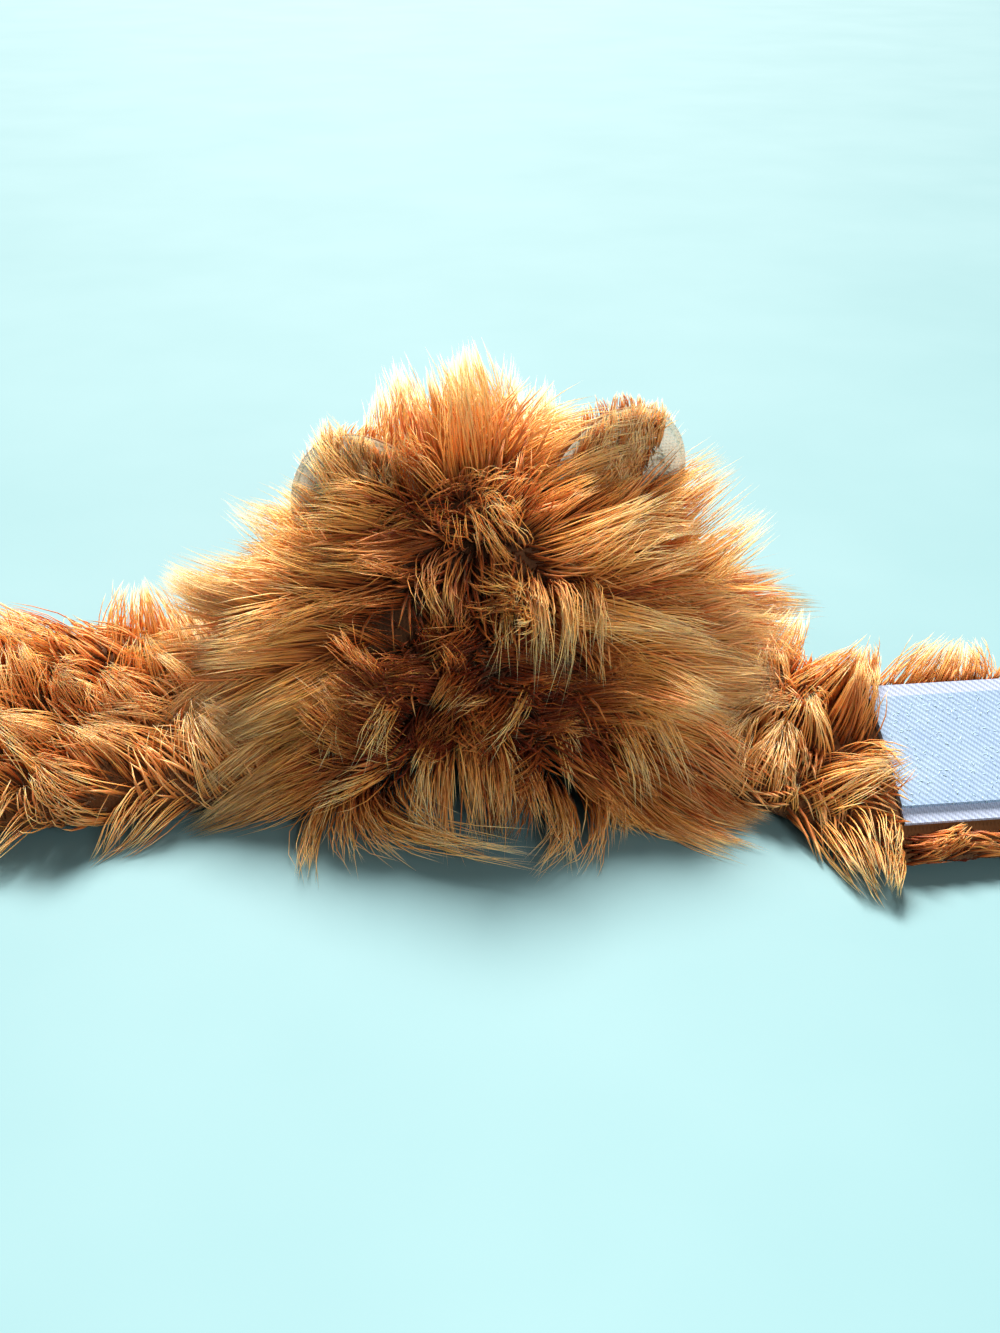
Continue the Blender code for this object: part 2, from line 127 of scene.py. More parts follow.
def make_lights():
    """Broad daylight from behind and above, and a small fill from the front."""
    sun = make_light("daylight", "SUN", SUN_STRENGTH, SUN_COLOUR, SUN_FROM, (0, 0, 0))
    sun.angle = SUN_SPREAD
    fill = make_light("front_fill", "AREA", FILL_WATTS, FILL_COLOUR, FILL_PLACE, FILL_AIM)
    fill.shape = "DISK"
    fill.size = FILL_SIZE


def make_world():
    world = bpy.data.worlds.new("studio")
    world.use_nodes = True
    background = world.node_tree.nodes["Background"]
    background.inputs["Color"].default_value = WORLD_COLOUR
    background.inputs["Strength"].default_value = WORLD_STRENGTH
    bpy.context.scene.world = world
    bpy.context.scene.view_settings.view_transform = "Standard"


# Materials

NOISE_DETAIL = 3.0
NOISE_ROUGHNESS = 0.55
MIX_FACTOR, MIX_FIRST, MIX_SECOND, MIX_RESULT = 0, 6, 7, 2  # a Mix node's sockets for colours


class Nodes:
    """A new material with short calls for its nodes."""

    def __init__(self, name):
        self.material = bpy.data.materials.new(name)
        self.material.use_nodes = True
        self.tree = self.material.node_tree
        self.shader = self.tree.nodes["Principled BSDF"]

    def add(self, kind, **settings):
        node = self.tree.nodes.new("ShaderNode" + kind)
        for key, value in settings.items():
            setattr(node, key, value)
        return node

    def link(self, output, socket):
        self.tree.links.new(output, socket)

    def feed(self, socket, value):
        """Link another node's output to a socket, or give it a constant."""
        if isinstance(value, bpy.types.NodeSocket):
            self.link(value, socket)
        else:
            socket.default_value = value

    def set(self, **values):
        """Feed the shader's own sockets: Sheen_Weight=0.3 sets Sheen Weight."""
        for key, value in values.items():
            self.feed(self.shader.inputs[key.replace("_", " ")], value)

    def coordinates(self, rotation=(0, 0, 0)):
        place = self.add("TexCoord")
        turned = self.add("Mapping")
        turned.inputs["Rotation"].default_value = rotation
        self.link(place.outputs["Object"], turned.inputs["Vector"])
        return turned.outputs["Vector"]

    def noise(self, vector, size):
        """Noise whose features are about this many metres across."""
        node = self.add("TexNoise")
        node.inputs["Scale"].default_value = 1 / size
        node.inputs["Detail"].default_value = NOISE_DETAIL
        node.inputs["Roughness"].default_value = NOISE_ROUGHNESS
        self.link(vector, node.inputs["Vector"])
        return node.outputs["Fac"]

    def wave(self, vector, size, direction, distortion=0.0):
        """Bands this many metres apart: at a scale of 1 the node's are pi / 10 apart."""
        node = self.add("TexWave", bands_direction=direction)
        node.inputs["Scale"].default_value = math.pi / 10 / size
        node.inputs["Distortion"].default_value = distortion
        self.link(vector, node.inputs["Vector"])
        return node.outputs["Fac"]

    def ramp(self, factor, stops):
        node = self.add("ValToRGB")
        elements = node.color_ramp.elements
        for index, (place, colour) in enumerate(stops):
            element = elements[index] if index < 2 else elements.new(place)
            element.position = place
            element.color = (*colour, 1)
        self.link(factor, node.inputs["Fac"])
        return node.outputs["Color"]

    def mix(self, factor, first, second, blend="MIX"):
        node = self.add("Mix", data_type="RGBA", blend_type=blend)
        for index, value in ((MIX_FACTOR, factor), (MIX_FIRST, first), (MIX_SECOND, second)):
            self.feed(node.inputs[index], value)
        return node.outputs[MIX_RESULT]

    def maths(self, operation, first, second):
        node = self.add("Math", operation=operation)
        for index, value in enumerate((first, second)):
            self.feed(node.inputs[index], value)
        return node.outputs[0]

    def spread(self, value, low, high):
        """A value from 0 to 1 taken to this range."""
        node = self.add("MapRange")
        node.inputs["To Min"].default_value = low
        node.inputs["To Max"].default_value = high
        self.link(value, node.inputs["Value"])
        return node.outputs["Result"]

    def bump(self, height, depth, strength):
        node = self.add("Bump")
        node.inputs["Strength"].default_value = strength
        node.inputs["Distance"].default_value = depth
        self.link(height, node.inputs["Height"])
        self.set(Normal=node.outputs["Normal"])


STRAND_MAP = "OFBake"
DARK_STRAND = (
    (0.0, (0.035, 0.002, 0.001)),
    (0.3, (0.13, 0.009, 0.002)),
    (0.65, (0.42, 0.066, 0.008)),
    (1.0, (0.7, 0.22, 0.045)),
)
PALE_STRAND = (
    (0.0, (0.1, 0.011, 0.002)),
    (0.2, (0.42, 0.085, 0.012)),
    (0.55, (0.98, 0.41, 0.1)),
    (1.0, (1.0, 0.7, 0.35)),
)


def strand_material(name, dark=DARK_STRAND, pale=PALE_STRAND, sheen=0.1):
    """Pile whose colour goes from root to tip along V, and from dark strands to pale ones along U."""
    nodes = Nodes(name)
    place = nodes.add("UVMap", uv_map=STRAND_MAP)
    parts = nodes.add("SeparateXYZ")
    nodes.link(place.outputs["UV"], parts.inputs["Vector"])
    along = parts.outputs["Y"]
    colour = nodes.mix(parts.outputs["X"], nodes.ramp(along, dark), nodes.ramp(along, pale))
    nodes.set(Base_Color=colour, Roughness=nodes.spread(along, 0.55, 0.36))
    nodes.set(Sheen_Weight=sheen, Sheen_Roughness=0.4, Sheen_Tint=(1.0, 0.75, 0.45, 1))
    nodes.set(Specular_IOR_Level=0.32, Specular_Tint=(1.0, 0.72, 0.45, 1))
    nodes.set(Subsurface_Weight=0.4, Subsurface_Radius=(1.0, 0.45, 0.18), Subsurface_Scale=0.7 * MM)
    return nodes.material


KNIT_STITCH = 0.9 * MM


def cloth_material(name, dark, pale):
    """Knitted backing: rows of small stitches, with a soft uneven tone."""
    nodes = Nodes(name)
    place = nodes.coordinates()
    patches = nodes.noise(place, 9 * MM)
    rows, courses = (nodes.wave(place, KNIT_STITCH, direction, 0.6) for direction in "XZ")
    fuzz = nodes.noise(place, 0.35 * MM)
    height = nodes.maths("ADD", nodes.maths("MULTIPLY", rows, courses), nodes.maths("MULTIPLY", fuzz, 0.6))
    nodes.bump(height, 0.25 * MM, 0.8)
    colour = nodes.ramp(patches, ((0.3, dark), (0.7, pale)))
    nodes.set(Base_Color=colour, Roughness=nodes.spread(fuzz, 0.8, 0.95))
    nodes.set(Sheen_Weight=0.05, Sheen_Roughness=0.5, Specular_IOR_Level=0.2)
    return nodes.material


def tape_material(name, selvedges):
    """Woven tape: fine ribs across it and a herringbone ground, with paler selvedges or without."""
    nodes = Nodes(name)
    place = nodes.coordinates(rotation=(-TAPE_TILT, 0, 0))
    warp = nodes.wave(place, 0.55 * MM, "X")
    weft = nodes.wave(place, 0.9 * MM, "DIAGONAL")
    tone = nodes.noise(place, 5 * MM)
    height = nodes.maths("ADD", warp, weft)
    weave = nodes.maths("MULTIPLY", height, 0.5)
    colour = nodes.ramp(weave, ((0.15, (0.24, 0.33, 0.46)), (0.7, (0.3, 0.41, 0.54))))
    shade = nodes.ramp(tone, ((0.3, (0.85, 0.88, 0.97)), (0.7, (1.0, 1.0, 1.0))))
    colour = nodes.mix(1.0, colour, shade, "MULTIPLY")
    if selvedges:
        parts = nodes.add("SeparateXYZ")
        nodes.link(place, parts.inputs["Vector"])
        across = nodes.maths("SUBTRACT", parts.outputs["Y"], float(TAPE_BACK_MIDDLE @ TAPE_ACROSS))
        edge = nodes.maths("GREATER_THAN", nodes.maths("ABSOLUTE", across, 0), TAPE_WIDTH / 2 - TAPE_EDGE)
        pale = nodes.ramp(weave, ((0.15, (0.3, 0.34, 0.47)), (0.7, (0.4, 0.46, 0.6))))
        colour = nodes.mix(edge, colour, pale)
    nodes.bump(height, 0.12 * MM, 0.7)
    nodes.set(Base_Color=colour, Roughness=nodes.spread(tone, 0.55, 0.7))
    nodes.set(Sheen_Weight=0.15, Sheen_Roughness=0.4)
    return nodes.material


def thread_material(name):
    """Thread or tiny loops, with a little difference from place to place."""
    nodes = Nodes(name)
    tone = nodes.noise(nodes.coordinates(), 1.2 * MM)
    colour = nodes.ramp(tone, ((0.3, (0.3, 0.42, 0.52)), (0.7, (0.48, 0.68, 0.74))))
    nodes.set(Base_Color=colour, Roughness=nodes.spread(tone, 0.5, 0.65))
    nodes.set(Sheen_Weight=0.2, Sheen_Roughness=0.35)
    return nodes.material


def floor_material():
    nodes = Nodes("floor_paper")
    tone = nodes.noise(nodes.coordinates(), 0.12)
    colours = ((0.3, (0.135, 0.25, 0.267)), (0.7, (0.15, 0.265, 0.282)))
    nodes.set(Base_Color=nodes.ramp(tone, colours), Roughness=0.6, Specular_IOR_Level=0.2)
    return nodes.material


# Meshes from arrays


def unit(vectors):
    return vectors / np.maximum(np.linalg.norm(vectors, axis=-1, keepdims=True), 1e-9)


def mesh_from(name, points, faces, material, corner_uvs=None):
    """A smooth mesh. faces is a list of arrays, each of faces with as many corners as it has columns."""
    mesh = bpy.data.meshes.new(name)
    corners = np.concatenate([part.ravel() for part in faces])
    sizes = np.concatenate([np.full(len(part), part.shape[1]) for part in faces])
    mesh.vertices.add(len(points))
    mesh.vertices.foreach_set("co", np.ascontiguousarray(points, np.float32).ravel())
    mesh.loops.add(len(corners))
    mesh.loops.foreach_set("vertex_index", corners.astype(np.int32))
    mesh.polygons.add(len(sizes))
    starts = np.concatenate([[0], np.cumsum(sizes)[:-1]])
    mesh.polygons.foreach_set("loop_start", starts.astype(np.int32))
    mesh.polygons.foreach_set("use_smooth", np.ones(len(sizes), bool))
    if corner_uvs is not None:
        layer = mesh.uv_layers.new(name=STRAND_MAP)
        layer.uv.foreach_set("vector", corner_uvs.astype(np.float32).ravel())
    mesh.update(calc_edges=True)
    mesh.validate()
    mesh.materials.append(material)
    thing = add_object(name, mesh)
    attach(thing, "root")
    return thing


def grid_faces(rows, columns, closed=False):
    """Quads of a grid of points, counted row by row. Closed joins its last column to its first."""
    row, column = np.meshgrid(np.arange(rows - 1), np.arange(columns - (not closed)), indexing="ij")
    after = (column + 1) % columns
    low, high = row * columns, (row + 1) * columns
    return np.stack([low + column, low + after, high + after, high + column], -1).reshape(-1, 4)


def border_of(rows, columns):
    """The grid's outline, in order, so that its inside is on the left."""
    index = np.arange(rows * columns).reshape(rows, columns)
    return np.concatenate([index[0, :-1], index[:-1, -1], index[-1, :0:-1], index[:0:-1, 0]])


def shell_from(name, outer, inner, material):
    """A closed sheet of cloth between two grids of points."""
    rows, columns = outer.shape[:2]
    count = rows * columns
    front = grid_faces(rows, columns)
    rim = border_of(rows, columns)
    after = np.roll(rim, -1)
    sides = np.stack([rim, rim + count, after + count, after], -1)
    points = np.concatenate([outer.reshape(-1, 3), inner.reshape(-1, 3)])
    return mesh_from(name, points, [np.concatenate([front, front[:, ::-1] + count, sides])], material)


def scatter(surface, count, chance, weights=1.0):
    """Places spread at random over the quads of a surface, with the normals there."""
    points, normals, faces = surface
    corners = np.concatenate([faces[:, [0, 1, 2]], faces[:, [0, 2, 3]]])
    a, b, c = (points[corners[:, k]] for k in range(3))
    size = np.linalg.norm(np.cross(b - a, c - a), axis=1) * np.tile(np.broadcast_to(weights, len(faces)), 2)
    chosen = chance.choice(len(corners), count, p=size / size.sum())
    u, v = chance.random((2, count, 1))
    u, v = np.where(u + v > 1, 1 - u, u), np.where(u + v > 1, 1 - v, v)
    shares = (1 - u - v, u, v)
    place, normal = (
        sum(share * values[corners[chosen, k]] for k, share in enumerate(shares))
        for values in (points, normals)
    )
    return place, unit(normal)


DRIFT_WAVES = 10
DRIFT_PACE = 1.6


def drift(points, size, seed):
    """A smooth random vector at each point, about 1 long, that changes over this many metres."""
    chance = np.random.default_rng(seed)
    waves = chance.normal(size=(DRIFT_WAVES, 3)) * DRIFT_PACE / size
    turns = chance.uniform(0, TURN, (DRIFT_WAVES, 3))
    return np.sin((points @ waves.T)[:, :, None] + turns).sum(1) / math.sqrt(1.5 * DRIFT_WAVES)


POINTS_AT_ONCE = 4000


def nearest(points, among):
    """For each point the index of the nearest of the others."""
    parts = np.array_split(points, len(points) // POINTS_AT_ONCE + 1)
    return np.concatenate([((among**2).sum(1) - 2 * part @ among.T).argmin(1) for part in parts])


# The hood's form, as the part has it

HOOD_CENTRE = np.array((0, 4 * MM, 0)) + SHIFT
HOOD_HALF_WIDTH = 56 * MM
HOOD_HALF_DEPTH = 50 * MM
HOOD_HEIGHT = 74 * MM
HOOD_ROUNDNESS = 1.65
ARCH_MIDDLE_X = -8 * MM
ARCH_HALF_WIDTH = 37 * MM
ARCH_HEIGHT = 22 * MM
CLOTH_FACE = 0.2 * MM  # under the solid's own surface, to the cloth's outer face
CLOTH = 2.6 * MM
PANEL_CELLS = 20
SEAM_INSET = 0.006  # of the square round the rim: the gap at a panel's edge
ROOT_INSET = 0.01

PANELS = {
    # where it starts and ends on the square round the rim, whose corners are at 1, 3, 5 and 7
    "nape_panel": (0, 4),
    "cheek_left": (4, 6),
    "cheek_right": (6, 8),
}


def arch_lift(points):
    """How far the face arch lifts these points of the hood, measured from its middle."""
    across = (points[..., 0] - ARCH_MIDDLE_X) / ARCH_HALF_WIDTH
    height = np.maximum(1 - points[..., 2] / HOOD_HEIGHT, 0) ** 2
    lift = ARCH_HEIGHT * (1 - across**2) * height
    return np.where((points[..., 1] > 0) | (np.abs(across) >= 1), 0, lift)


def hood_surface(ways, depth=0.0):
    """The hood's points these ways from the middle of its rim, and its normals there."""
    x, y, z = ways[..., 0], ways[..., 1], np.maximum(ways[..., 2], 0)
    across = np.maximum(np.hypot(x / HOOD_HALF_WIDTH, y / HOOD_HALF_DEPTH), 1e-6)
    up = z / HOOD_HEIGHT
    reach = (across**HOOD_ROUNDNESS + up**HOOD_ROUNDNESS) ** (-1 / HOOD_ROUNDNESS)
    points = ways * reach[..., None]
    flat = (across * reach) ** (HOOD_ROUNDNESS - 2)
    rise = (up * reach) ** (HOOD_ROUNDNESS - 1) / HOOD_HEIGHT
    right, back = flat * points[..., 0] / HOOD_HALF_WIDTH**2, flat * points[..., 1] / HOOD_HALF_DEPTH**2
    normals = unit(np.stack([right, back, rise], -1))
    points = points - normals * depth
    return points + HOOD_CENTRE + UP * arch_lift(points)[..., None], normals


def on_square(around):
    """The point of the square with half sides of 1 at each share of the way round."""
    around = around % 8
    x = np.interp(around, [0, 1, 3, 5, 7, 8], [1, 1, -1, -1, 1, 1])
    y = np.interp(around, [0, 1, 3, 5, 7, 8], [0, 1, 1, -1, -1, 0])
    return x, y


def panel_ways(name, inset):
    """A panel's grid of ways out from the middle of the hood's rim."""
    if name == "crown_panel":
        steps = np.linspace(-1 + inset, 1 - inset, 2 * PANEL_CELLS + 1)
        y, x = np.meshgrid(steps, steps, indexing="ij")
        z = np.ones_like(x)
    else:
        start, end = PANELS[name]
        steps = np.linspace(start + inset, end - inset, (end - start) * PANEL_CELLS + 1)
        z, around = np.meshgrid(np.linspace(0, 1 - inset, PANEL_CELLS + 1), steps, indexing="ij")
        x, y = on_square(around)
    return unit(np.tan(np.stack([x, y, z], -1) * math.pi / 4))


# Pile


class Hairs:
    """Roots with a way, a length and a bend each: a tuft's middle, a lock's middle or single hairs."""

    def __init__(self, coat, roots, normals, chance, stray, curl, wave, spread):
        loose = 1 + TANGLED_MORE * coat.tangle(roots)
        count = len(roots)
        self.roots = roots
        self.lengths = coat.length(roots) * (1 + chance.uniform(-spread, spread, count))
        astray = chance.normal(0, 1, roots.shape) * (stray * loose)[:, None]
        self.ways = unit(coat.lay(roots, normals) + astray)
        aside = unit(np.cross(self.ways, chance.normal(size=roots.shape)))
        self.bends = aside * (curl * loose * self.lengths * chance.normal(size=count))[:, None]
        self.bends[:, 2] -= coat.droop(roots) * (self.lengths / coat.length(roots)) ** 2
        self.swings = unit(np.cross(self.ways, chance.normal(size=roots.shape))) * (wave * loose)[:, None]
        self.turns = chance.uniform(0, TURN, count)
        self.beats = TURN * self.lengths / chance.uniform(0.7, 1.5, count) / WAVE_LENGTH

    def at(self, rows, shares):
        """Points along these hairs, at shares of their lengths. shares has one row for each."""
        far = self.lengths[rows, None, None] * shares[..., None]
        straight = self.roots[rows, None] + self.ways[rows, None] * far
        path = straight + self.bends[rows, None] * shares[..., None] ** 2
        turned = np.sin(self.beats[rows, None] * shares + self.turns[rows, None]) * np.minimum(shares * 2, 1)
        return path + self.swings[rows, None] * turned[..., None]


TANGLED_MORE = 2.0  # how much more a tangled hair strays, curls and waves
WAVE_LENGTH = 22 * MM


class Coat:
    """How a pile stands: what its tufts, locks and hairs do."""

    tangle = staticmethod(lambda roots: np.zeros(len(roots)))
    tuft_apart = 11 * MM
    lock_apart = 3.2 * MM
    tuft_spread = 0.28
    hair_spread = 0.12
    tuft_stray = 0.15
    lock_stray = 0.12
    hair_stray = 0.12
    curl = 0.15
    tuft_wave = 1.6 * MM
    lock_wave = 1.1 * MM
    tuft_pull = 0.66
    lock_pull = 0.74
    frizz = 0.6 * MM

    def __init__(self, lay, length, droop, **changes):
        self.lay = lay
        self.length = length
        self.droop = droop
        for key, value in changes.items():
            setattr(self, key, value)


def smoothed(paths):
    """Each inner point of these paths is moved half way to the middle of its neighbours."""
    paths[:, 1:-1] = paths[:, 1:-1] / 2 + (paths[:, 2:] + paths[:, :-2]) / 4
    return paths


HAIR_CURL = 0.6  # of a lock's own
LOCK_JITTER = 0.25  # of the space between locks: how far a hair looks past its nearest lock
TUFT_JITTER = 0.12  # of the space between tufts, for a lock
TUFT_SHARE = 0.65  # of a hair's length that follows its tuft's
FAN_CLOSES = 0.8  # of their space apart that hairs lose towards their tips
SLACK = 0.18  # how much the hold on a hair differs from hair to hair
HOLD_MOST = 0.97


def leaders(coat, sites, site_normals, chance):
    """The middles of the tufts and of the locks, at places picked from the sites."""
    picks = chance.permutation(len(sites))
    for apart, stray, wave, spread in (
        (coat.tuft_apart, coat.tuft_stray, coat.tuft_wave, coat.tuft_spread),
        (coat.lock_apart, coat.lock_stray, coat.lock_wave, coat.hair_spread),
    ):
        count = max(int(coat.area / apart**2), 4)
        rows, picks = picks[:count], picks[count:]
        yield Hairs(coat, sites[rows], site_normals[rows], chance, stray, coat.curl, wave, spread)


def comb(coat, roots, normals, sites, site_normals, chance, shares, shorter):
    """The paths of hairs that gather into locks, and of locks that gather into tufts."""
    tufts, locks = leaders(coat, sites, site_normals, chance)
    curl = coat.curl * HAIR_CURL
    hairs = Hairs(coat, roots, normals, chance, coat.hair_stray, curl, coat.frizz, coat.hair_spread)
    hairs.lengths = hairs.lengths * (1 - shorter * chance.random(len(roots)) ** 2)
    lock_of = nearest(roots + chance.normal(0, coat.lock_apart * LOCK_JITTER, roots.shape), locks.roots)
    jitter = chance.normal(0, coat.tuft_apart * TUFT_JITTER, locks.roots.shape)
    tuft_of = nearest(locks.roots + jitter, tufts.roots)[lock_of]
    grown = (tufts.lengths / coat.length(tufts.roots))[tuft_of]
    hairs.lengths = hairs.lengths * (1 - TUFT_SHARE + TUFT_SHARE * grown)
    steps = np.tile(shares, (len(roots), 1))
    path = hairs.at(np.arange(len(roots)), steps)
    for leads, lead_of, pull in ((locks, lock_of, coat.lock_pull), (tufts, tuft_of, coat.tuft_pull)):
        ratio = np.clip(hairs.lengths / leads.lengths[lead_of], 0.3, 1.15)
        apart = (roots - leads.roots[lead_of])[:, None] * (1 - FAN_CLOSES * steps[..., None])
        led = leads.at(lead_of, steps * ratio[:, None]) + apart
        loose = np.clip(chance.normal(1, SLACK, len(roots)), 0.2, 1.2)
        hold = np.clip(pull * loose[:, None] * steps**0.8, 0, HOLD_MOST)[..., None]
        path = path * (1 - hold) + led * hold
    turn = chance.uniform(0, TURN, (len(roots), 1))
    beat = chance.uniform(0.8, 2.0, (len(roots), 1)) * TURN
    for phase in (0, 1.7):
        axis = unit(chance.normal(size=roots.shape))
        size = coat.frizz * chance.gamma(1.5, 0.6, (len(roots), 1)) * (1 + coat.tangle(roots))[:, None]
        path += axis[:, None] * (np.sin(steps * beat + turn + phase) * steps * size)[..., None]
    return smoothed(path), lock_of, tuft_of


def grow(coat, surface, weights, counts, chance, shares, shorter):
    """Root hairs on a surface and comb them. counts are of the hairs, and of the sites for locks and tufts.

    It gives the roots, the hairs' paths, and the lock and the tuft of each.
    """
    hairs, sites = (scatter(surface, count, chance, weights) for count in counts)
    return hairs[0], *comb(coat, *hairs, *sites, chance, shares, shorter)


def stand_in(piece, node, slot):
    """Hide the node's solid, so that this piece shows in its place. The piece and the slot are not used."""
    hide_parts(node)


TONES = 48  # columns of the map, one for each tone
COLUMN_MARGIN = 0.1
MAP_MARGIN = 0.004
TAPER = 0.75  # of its width that a hair loses by its tip
THINNEST = 0.75  # of the mean width, at a hair's root


def three_ways(side, over):
    """Three ways at equal angles across a path, from two square to it."""
    angles = [third * TURN / 3 for third in range(3)]
    return [side * math.cos(angle) + over * math.sin(angle) for angle in angles]


def strands(name, paths, width, tones, material, chance, reach=1.0, start=0.0):
    """Closed three-sided tapered hairs along these paths.

    A hair's tone, 0 to 1, is its place on the map's U. Its root is at start along V and its tip at reach.
    """
    count, steps = paths.shape[:2]
    rings = steps - 1
    ways = unit(np.gradient(paths, axis=1))
    side = unit(np.cross(ways, unit(chance.normal(size=(count, 1, 3)))))
    corners = np.stack(three_ways(side, np.cross(ways, side)), 2)
    levels = np.linspace(0, 1, steps)
    own = THINNEST + 2 * (1 - THINNEST) * chance.random((count, 1))
    thick = width / 2 * (1 - TAPER * levels[:rings] ** 2) * own
    ring_points = paths[:, :rings, None] + corners[:, :rings] * thick[:, :, None, None]
    points = np.concatenate([ring_points.reshape(count, 3 * rings, 3), paths[:, -1:]], axis=1)
    quads, quad_uvs, tris, tri_uvs = [], [], [], []
    for ring in range(rings - 1):
        for third in range(3):
            here, after = 3 * ring + third, 3 * ring + (third + 1) % 3
            quads.append((here, after, after + 3, here + 3))
            left, right = third / 3, (third + 1) / 3
            low, high = levels[ring], levels[ring + 1]
            quad_uvs.append(((left, low), (right, low), (right, high), (left, high)))
    top = 3 * (rings - 1)
    for third in range(3):
        tris.append((top + third, top + (third + 1) % 3, 3 * rings))
        left, right = third / 3, (third + 1) / 3
        tri_uvs.append(((left, levels[-2]), (right, levels[-2]), ((left + right) / 2, 1)))
    tris.append((2, 1, 0))
    tri_uvs.append(((0, 0), (1, 0), (0.5, levels[1] / 4)))
    first = np.arange(count)[:, None, None] * (3 * rings + 1)
    faces = [(np.array(part)[None] + first).reshape(-1, len(part[0])) for part in (quads, tris)]
    column = np.floor(np.clip(tones, 0, 0.9999) * TONES)[:, None]
    low, high = (np.broadcast_to(part, count)[:, None] for part in (start, reach))
    uvs = []
    for table in (quad_uvs, tri_uvs):
        table = np.array(table).reshape(1, -1, 2)
        u = (column + COLUMN_MARGIN + (1 - 2 * COLUMN_MARGIN) * table[..., 0]) / TONES
        v = MAP_MARGIN + (1 - 2 * MAP_MARGIN) * (low + (high - low) * table[..., 1])
        uvs.append(np.stack([u, v], -1).reshape(-1, 2))
    return mesh_from(name, points.reshape(-1, 3), faces, material, np.concatenate(uvs))


TABLE_CLEARANCE = (0.25 * MM, 1.6 * MM)


def clear_of_table(paths, chance):
    """Lift what hangs under the table onto it, each hair to a height of its own."""
    floor = chance.uniform(*TABLE_CLEARANCE, (len(paths), 1))
    paths[..., 2] = np.maximum(paths[..., 2], floor)
    return smoothed(paths)


# The tape's own axes

TAPE_LENGTH = 60 * MM
TAPE_WIDTH = 38 * MM
TAPE_THICKNESS = 2 * MM
TAPE_TILT = math.atan2(20, 38)
TAPE_ALONG = np.array((1.0, 0.0, 0.0))
TAPE_NORMAL = np.array((0.0, -math.sin(TAPE_TILT), math.cos(TAPE_TILT)))
TAPE_ACROSS = np.cross(TAPE_NORMAL, TAPE_ALONG)
TAPE_BACK_MIDDLE = (np.array(tape_low) + np.array(tape_high)) / 2


FUR_OVER_END = 3 * MM
FUR_OFF_END = 2 * MM
FUR_OFF_SIDES = 0.5 * MM
FUR_UNDER = 4 * MM


def on_tape(points):
    """These points along the tape, across it and above its back."""
    apart = points - TAPE_BACK_MIDDLE
    return apart @ TAPE_ALONG, apart @ TAPE_ACROSS, apart @ TAPE_NORMAL


def covers_tape(paths):
    """Which of these hairs stand over the tape, past the part of its left end that they may cover."""
    along, across, above = on_tape(paths)
    over = (along > -TAPE_LENGTH / 2 + FUR_OVER_END) & (along < TAPE_LENGTH / 2 + FUR_OFF_END)
    over &= (np.abs(across) < TAPE_WIDTH / 2 + FUR_OFF_SIDES) & (above > -FUR_UNDER)
    return over.any(1)


TAPE_EDGE = 4 * MM
TAPE_EDGE_THICKNESS = 0.9 * MM
LOOP_APART = 1.05 * MM
LOOP_SIZES = (0.35 * MM, 0.6 * MM)
LOOP_RISE = 0.75 * MM
LOOP_WANDER = 0.34 * MM
LOOP_THREAD = 0.24 * MM
STITCH_THREAD = 0.42 * MM
STITCH_LENGTH = 2.3 * MM
STITCH_APART = 3.1 * MM
ASKEW = np.array((0.31, 0.52, 0.79))  # no thread runs this way


def threads(name, paths, width, material):
    """Closed three-sided tubes of one thickness along these paths."""
    count, steps = paths.shape[:2]
    ways = unit(np.gradient(paths, axis=1))
    side = unit(np.cross(ways, ASKEW))
    rings = [paths + way * width / 2 for way in three_ways(side, np.cross(ways, side))]
    points = np.stack(rings, 2).reshape(-1, 3)
    quads = grid_faces(steps, 3, closed=True)
    ends = np.array(((2, 1, 0), (3 * steps - 3, 3 * steps - 2, 3 * steps - 1)))
    first = np.arange(count)[:, None, None] * 3 * steps
    faces = [(part[None] + first).reshape(-1, part.shape[1]) for part in (quads, ends)]
    return mesh_from(name, points, faces, material)


def on_loop_tape(along, across, above):
    """World points from places along the tape, across it and above its back."""
    places = TAPE_BACK_MIDDLE - TAPE_NORMAL * TAPE_THICKNESS / 2
    for far, way in ((along, TAPE_ALONG), (across, TAPE_ACROSS), (above, TAPE_NORMAL)):
        places = places + far[..., None] * way
    return places


def build_loops():
    """The tape's pile of small loops, in rows that wander a little."""
    chance = np.random.default_rng(51)
    long, wide = TAPE_LENGTH / 2 - 0.6 * MM, TAPE_WIDTH / 2 - TAPE_EDGE - 0.5 * MM
    along, across = np.meshgrid(np.arange(-long, long, LOOP_APART), np.arange(-wide, wide, LOOP_APART))
    along[1::2] += LOOP_APART / 2
    along, across = (part.ravel() + chance.normal(0, LOOP_WANDER, part.size) for part in (along, across))
    turn = chance.normal(0.9, 1.1, len(along))[:, None]
    size = chance.uniform(*LOOP_SIZES, (len(along), 1))
    arc = np.linspace(-0.35, math.pi + 0.35, 4)
    out = np.cos(arc) * size
    lean = chance.normal(0, 0.25 * MM, (len(along), 1)) * np.sin(arc)
    rise = TAPE_THICKNESS - 0.12 * MM + np.sin(arc) * LOOP_RISE * size / (0.5 * MM)
    paths = on_loop_tape(
        np.clip(along[:, None] + out * np.cos(turn) + lean, -TAPE_LENGTH / 2, TAPE_LENGTH / 2),
        across[:, None] + out * np.sin(turn),
        np.maximum(rise, TAPE_THICKNESS - 0.2 * MM),
    )
    loops = threads("loop_tape_pile", paths, LOOP_THREAD, thread_material("loop_threads"))
    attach(loops, "root")


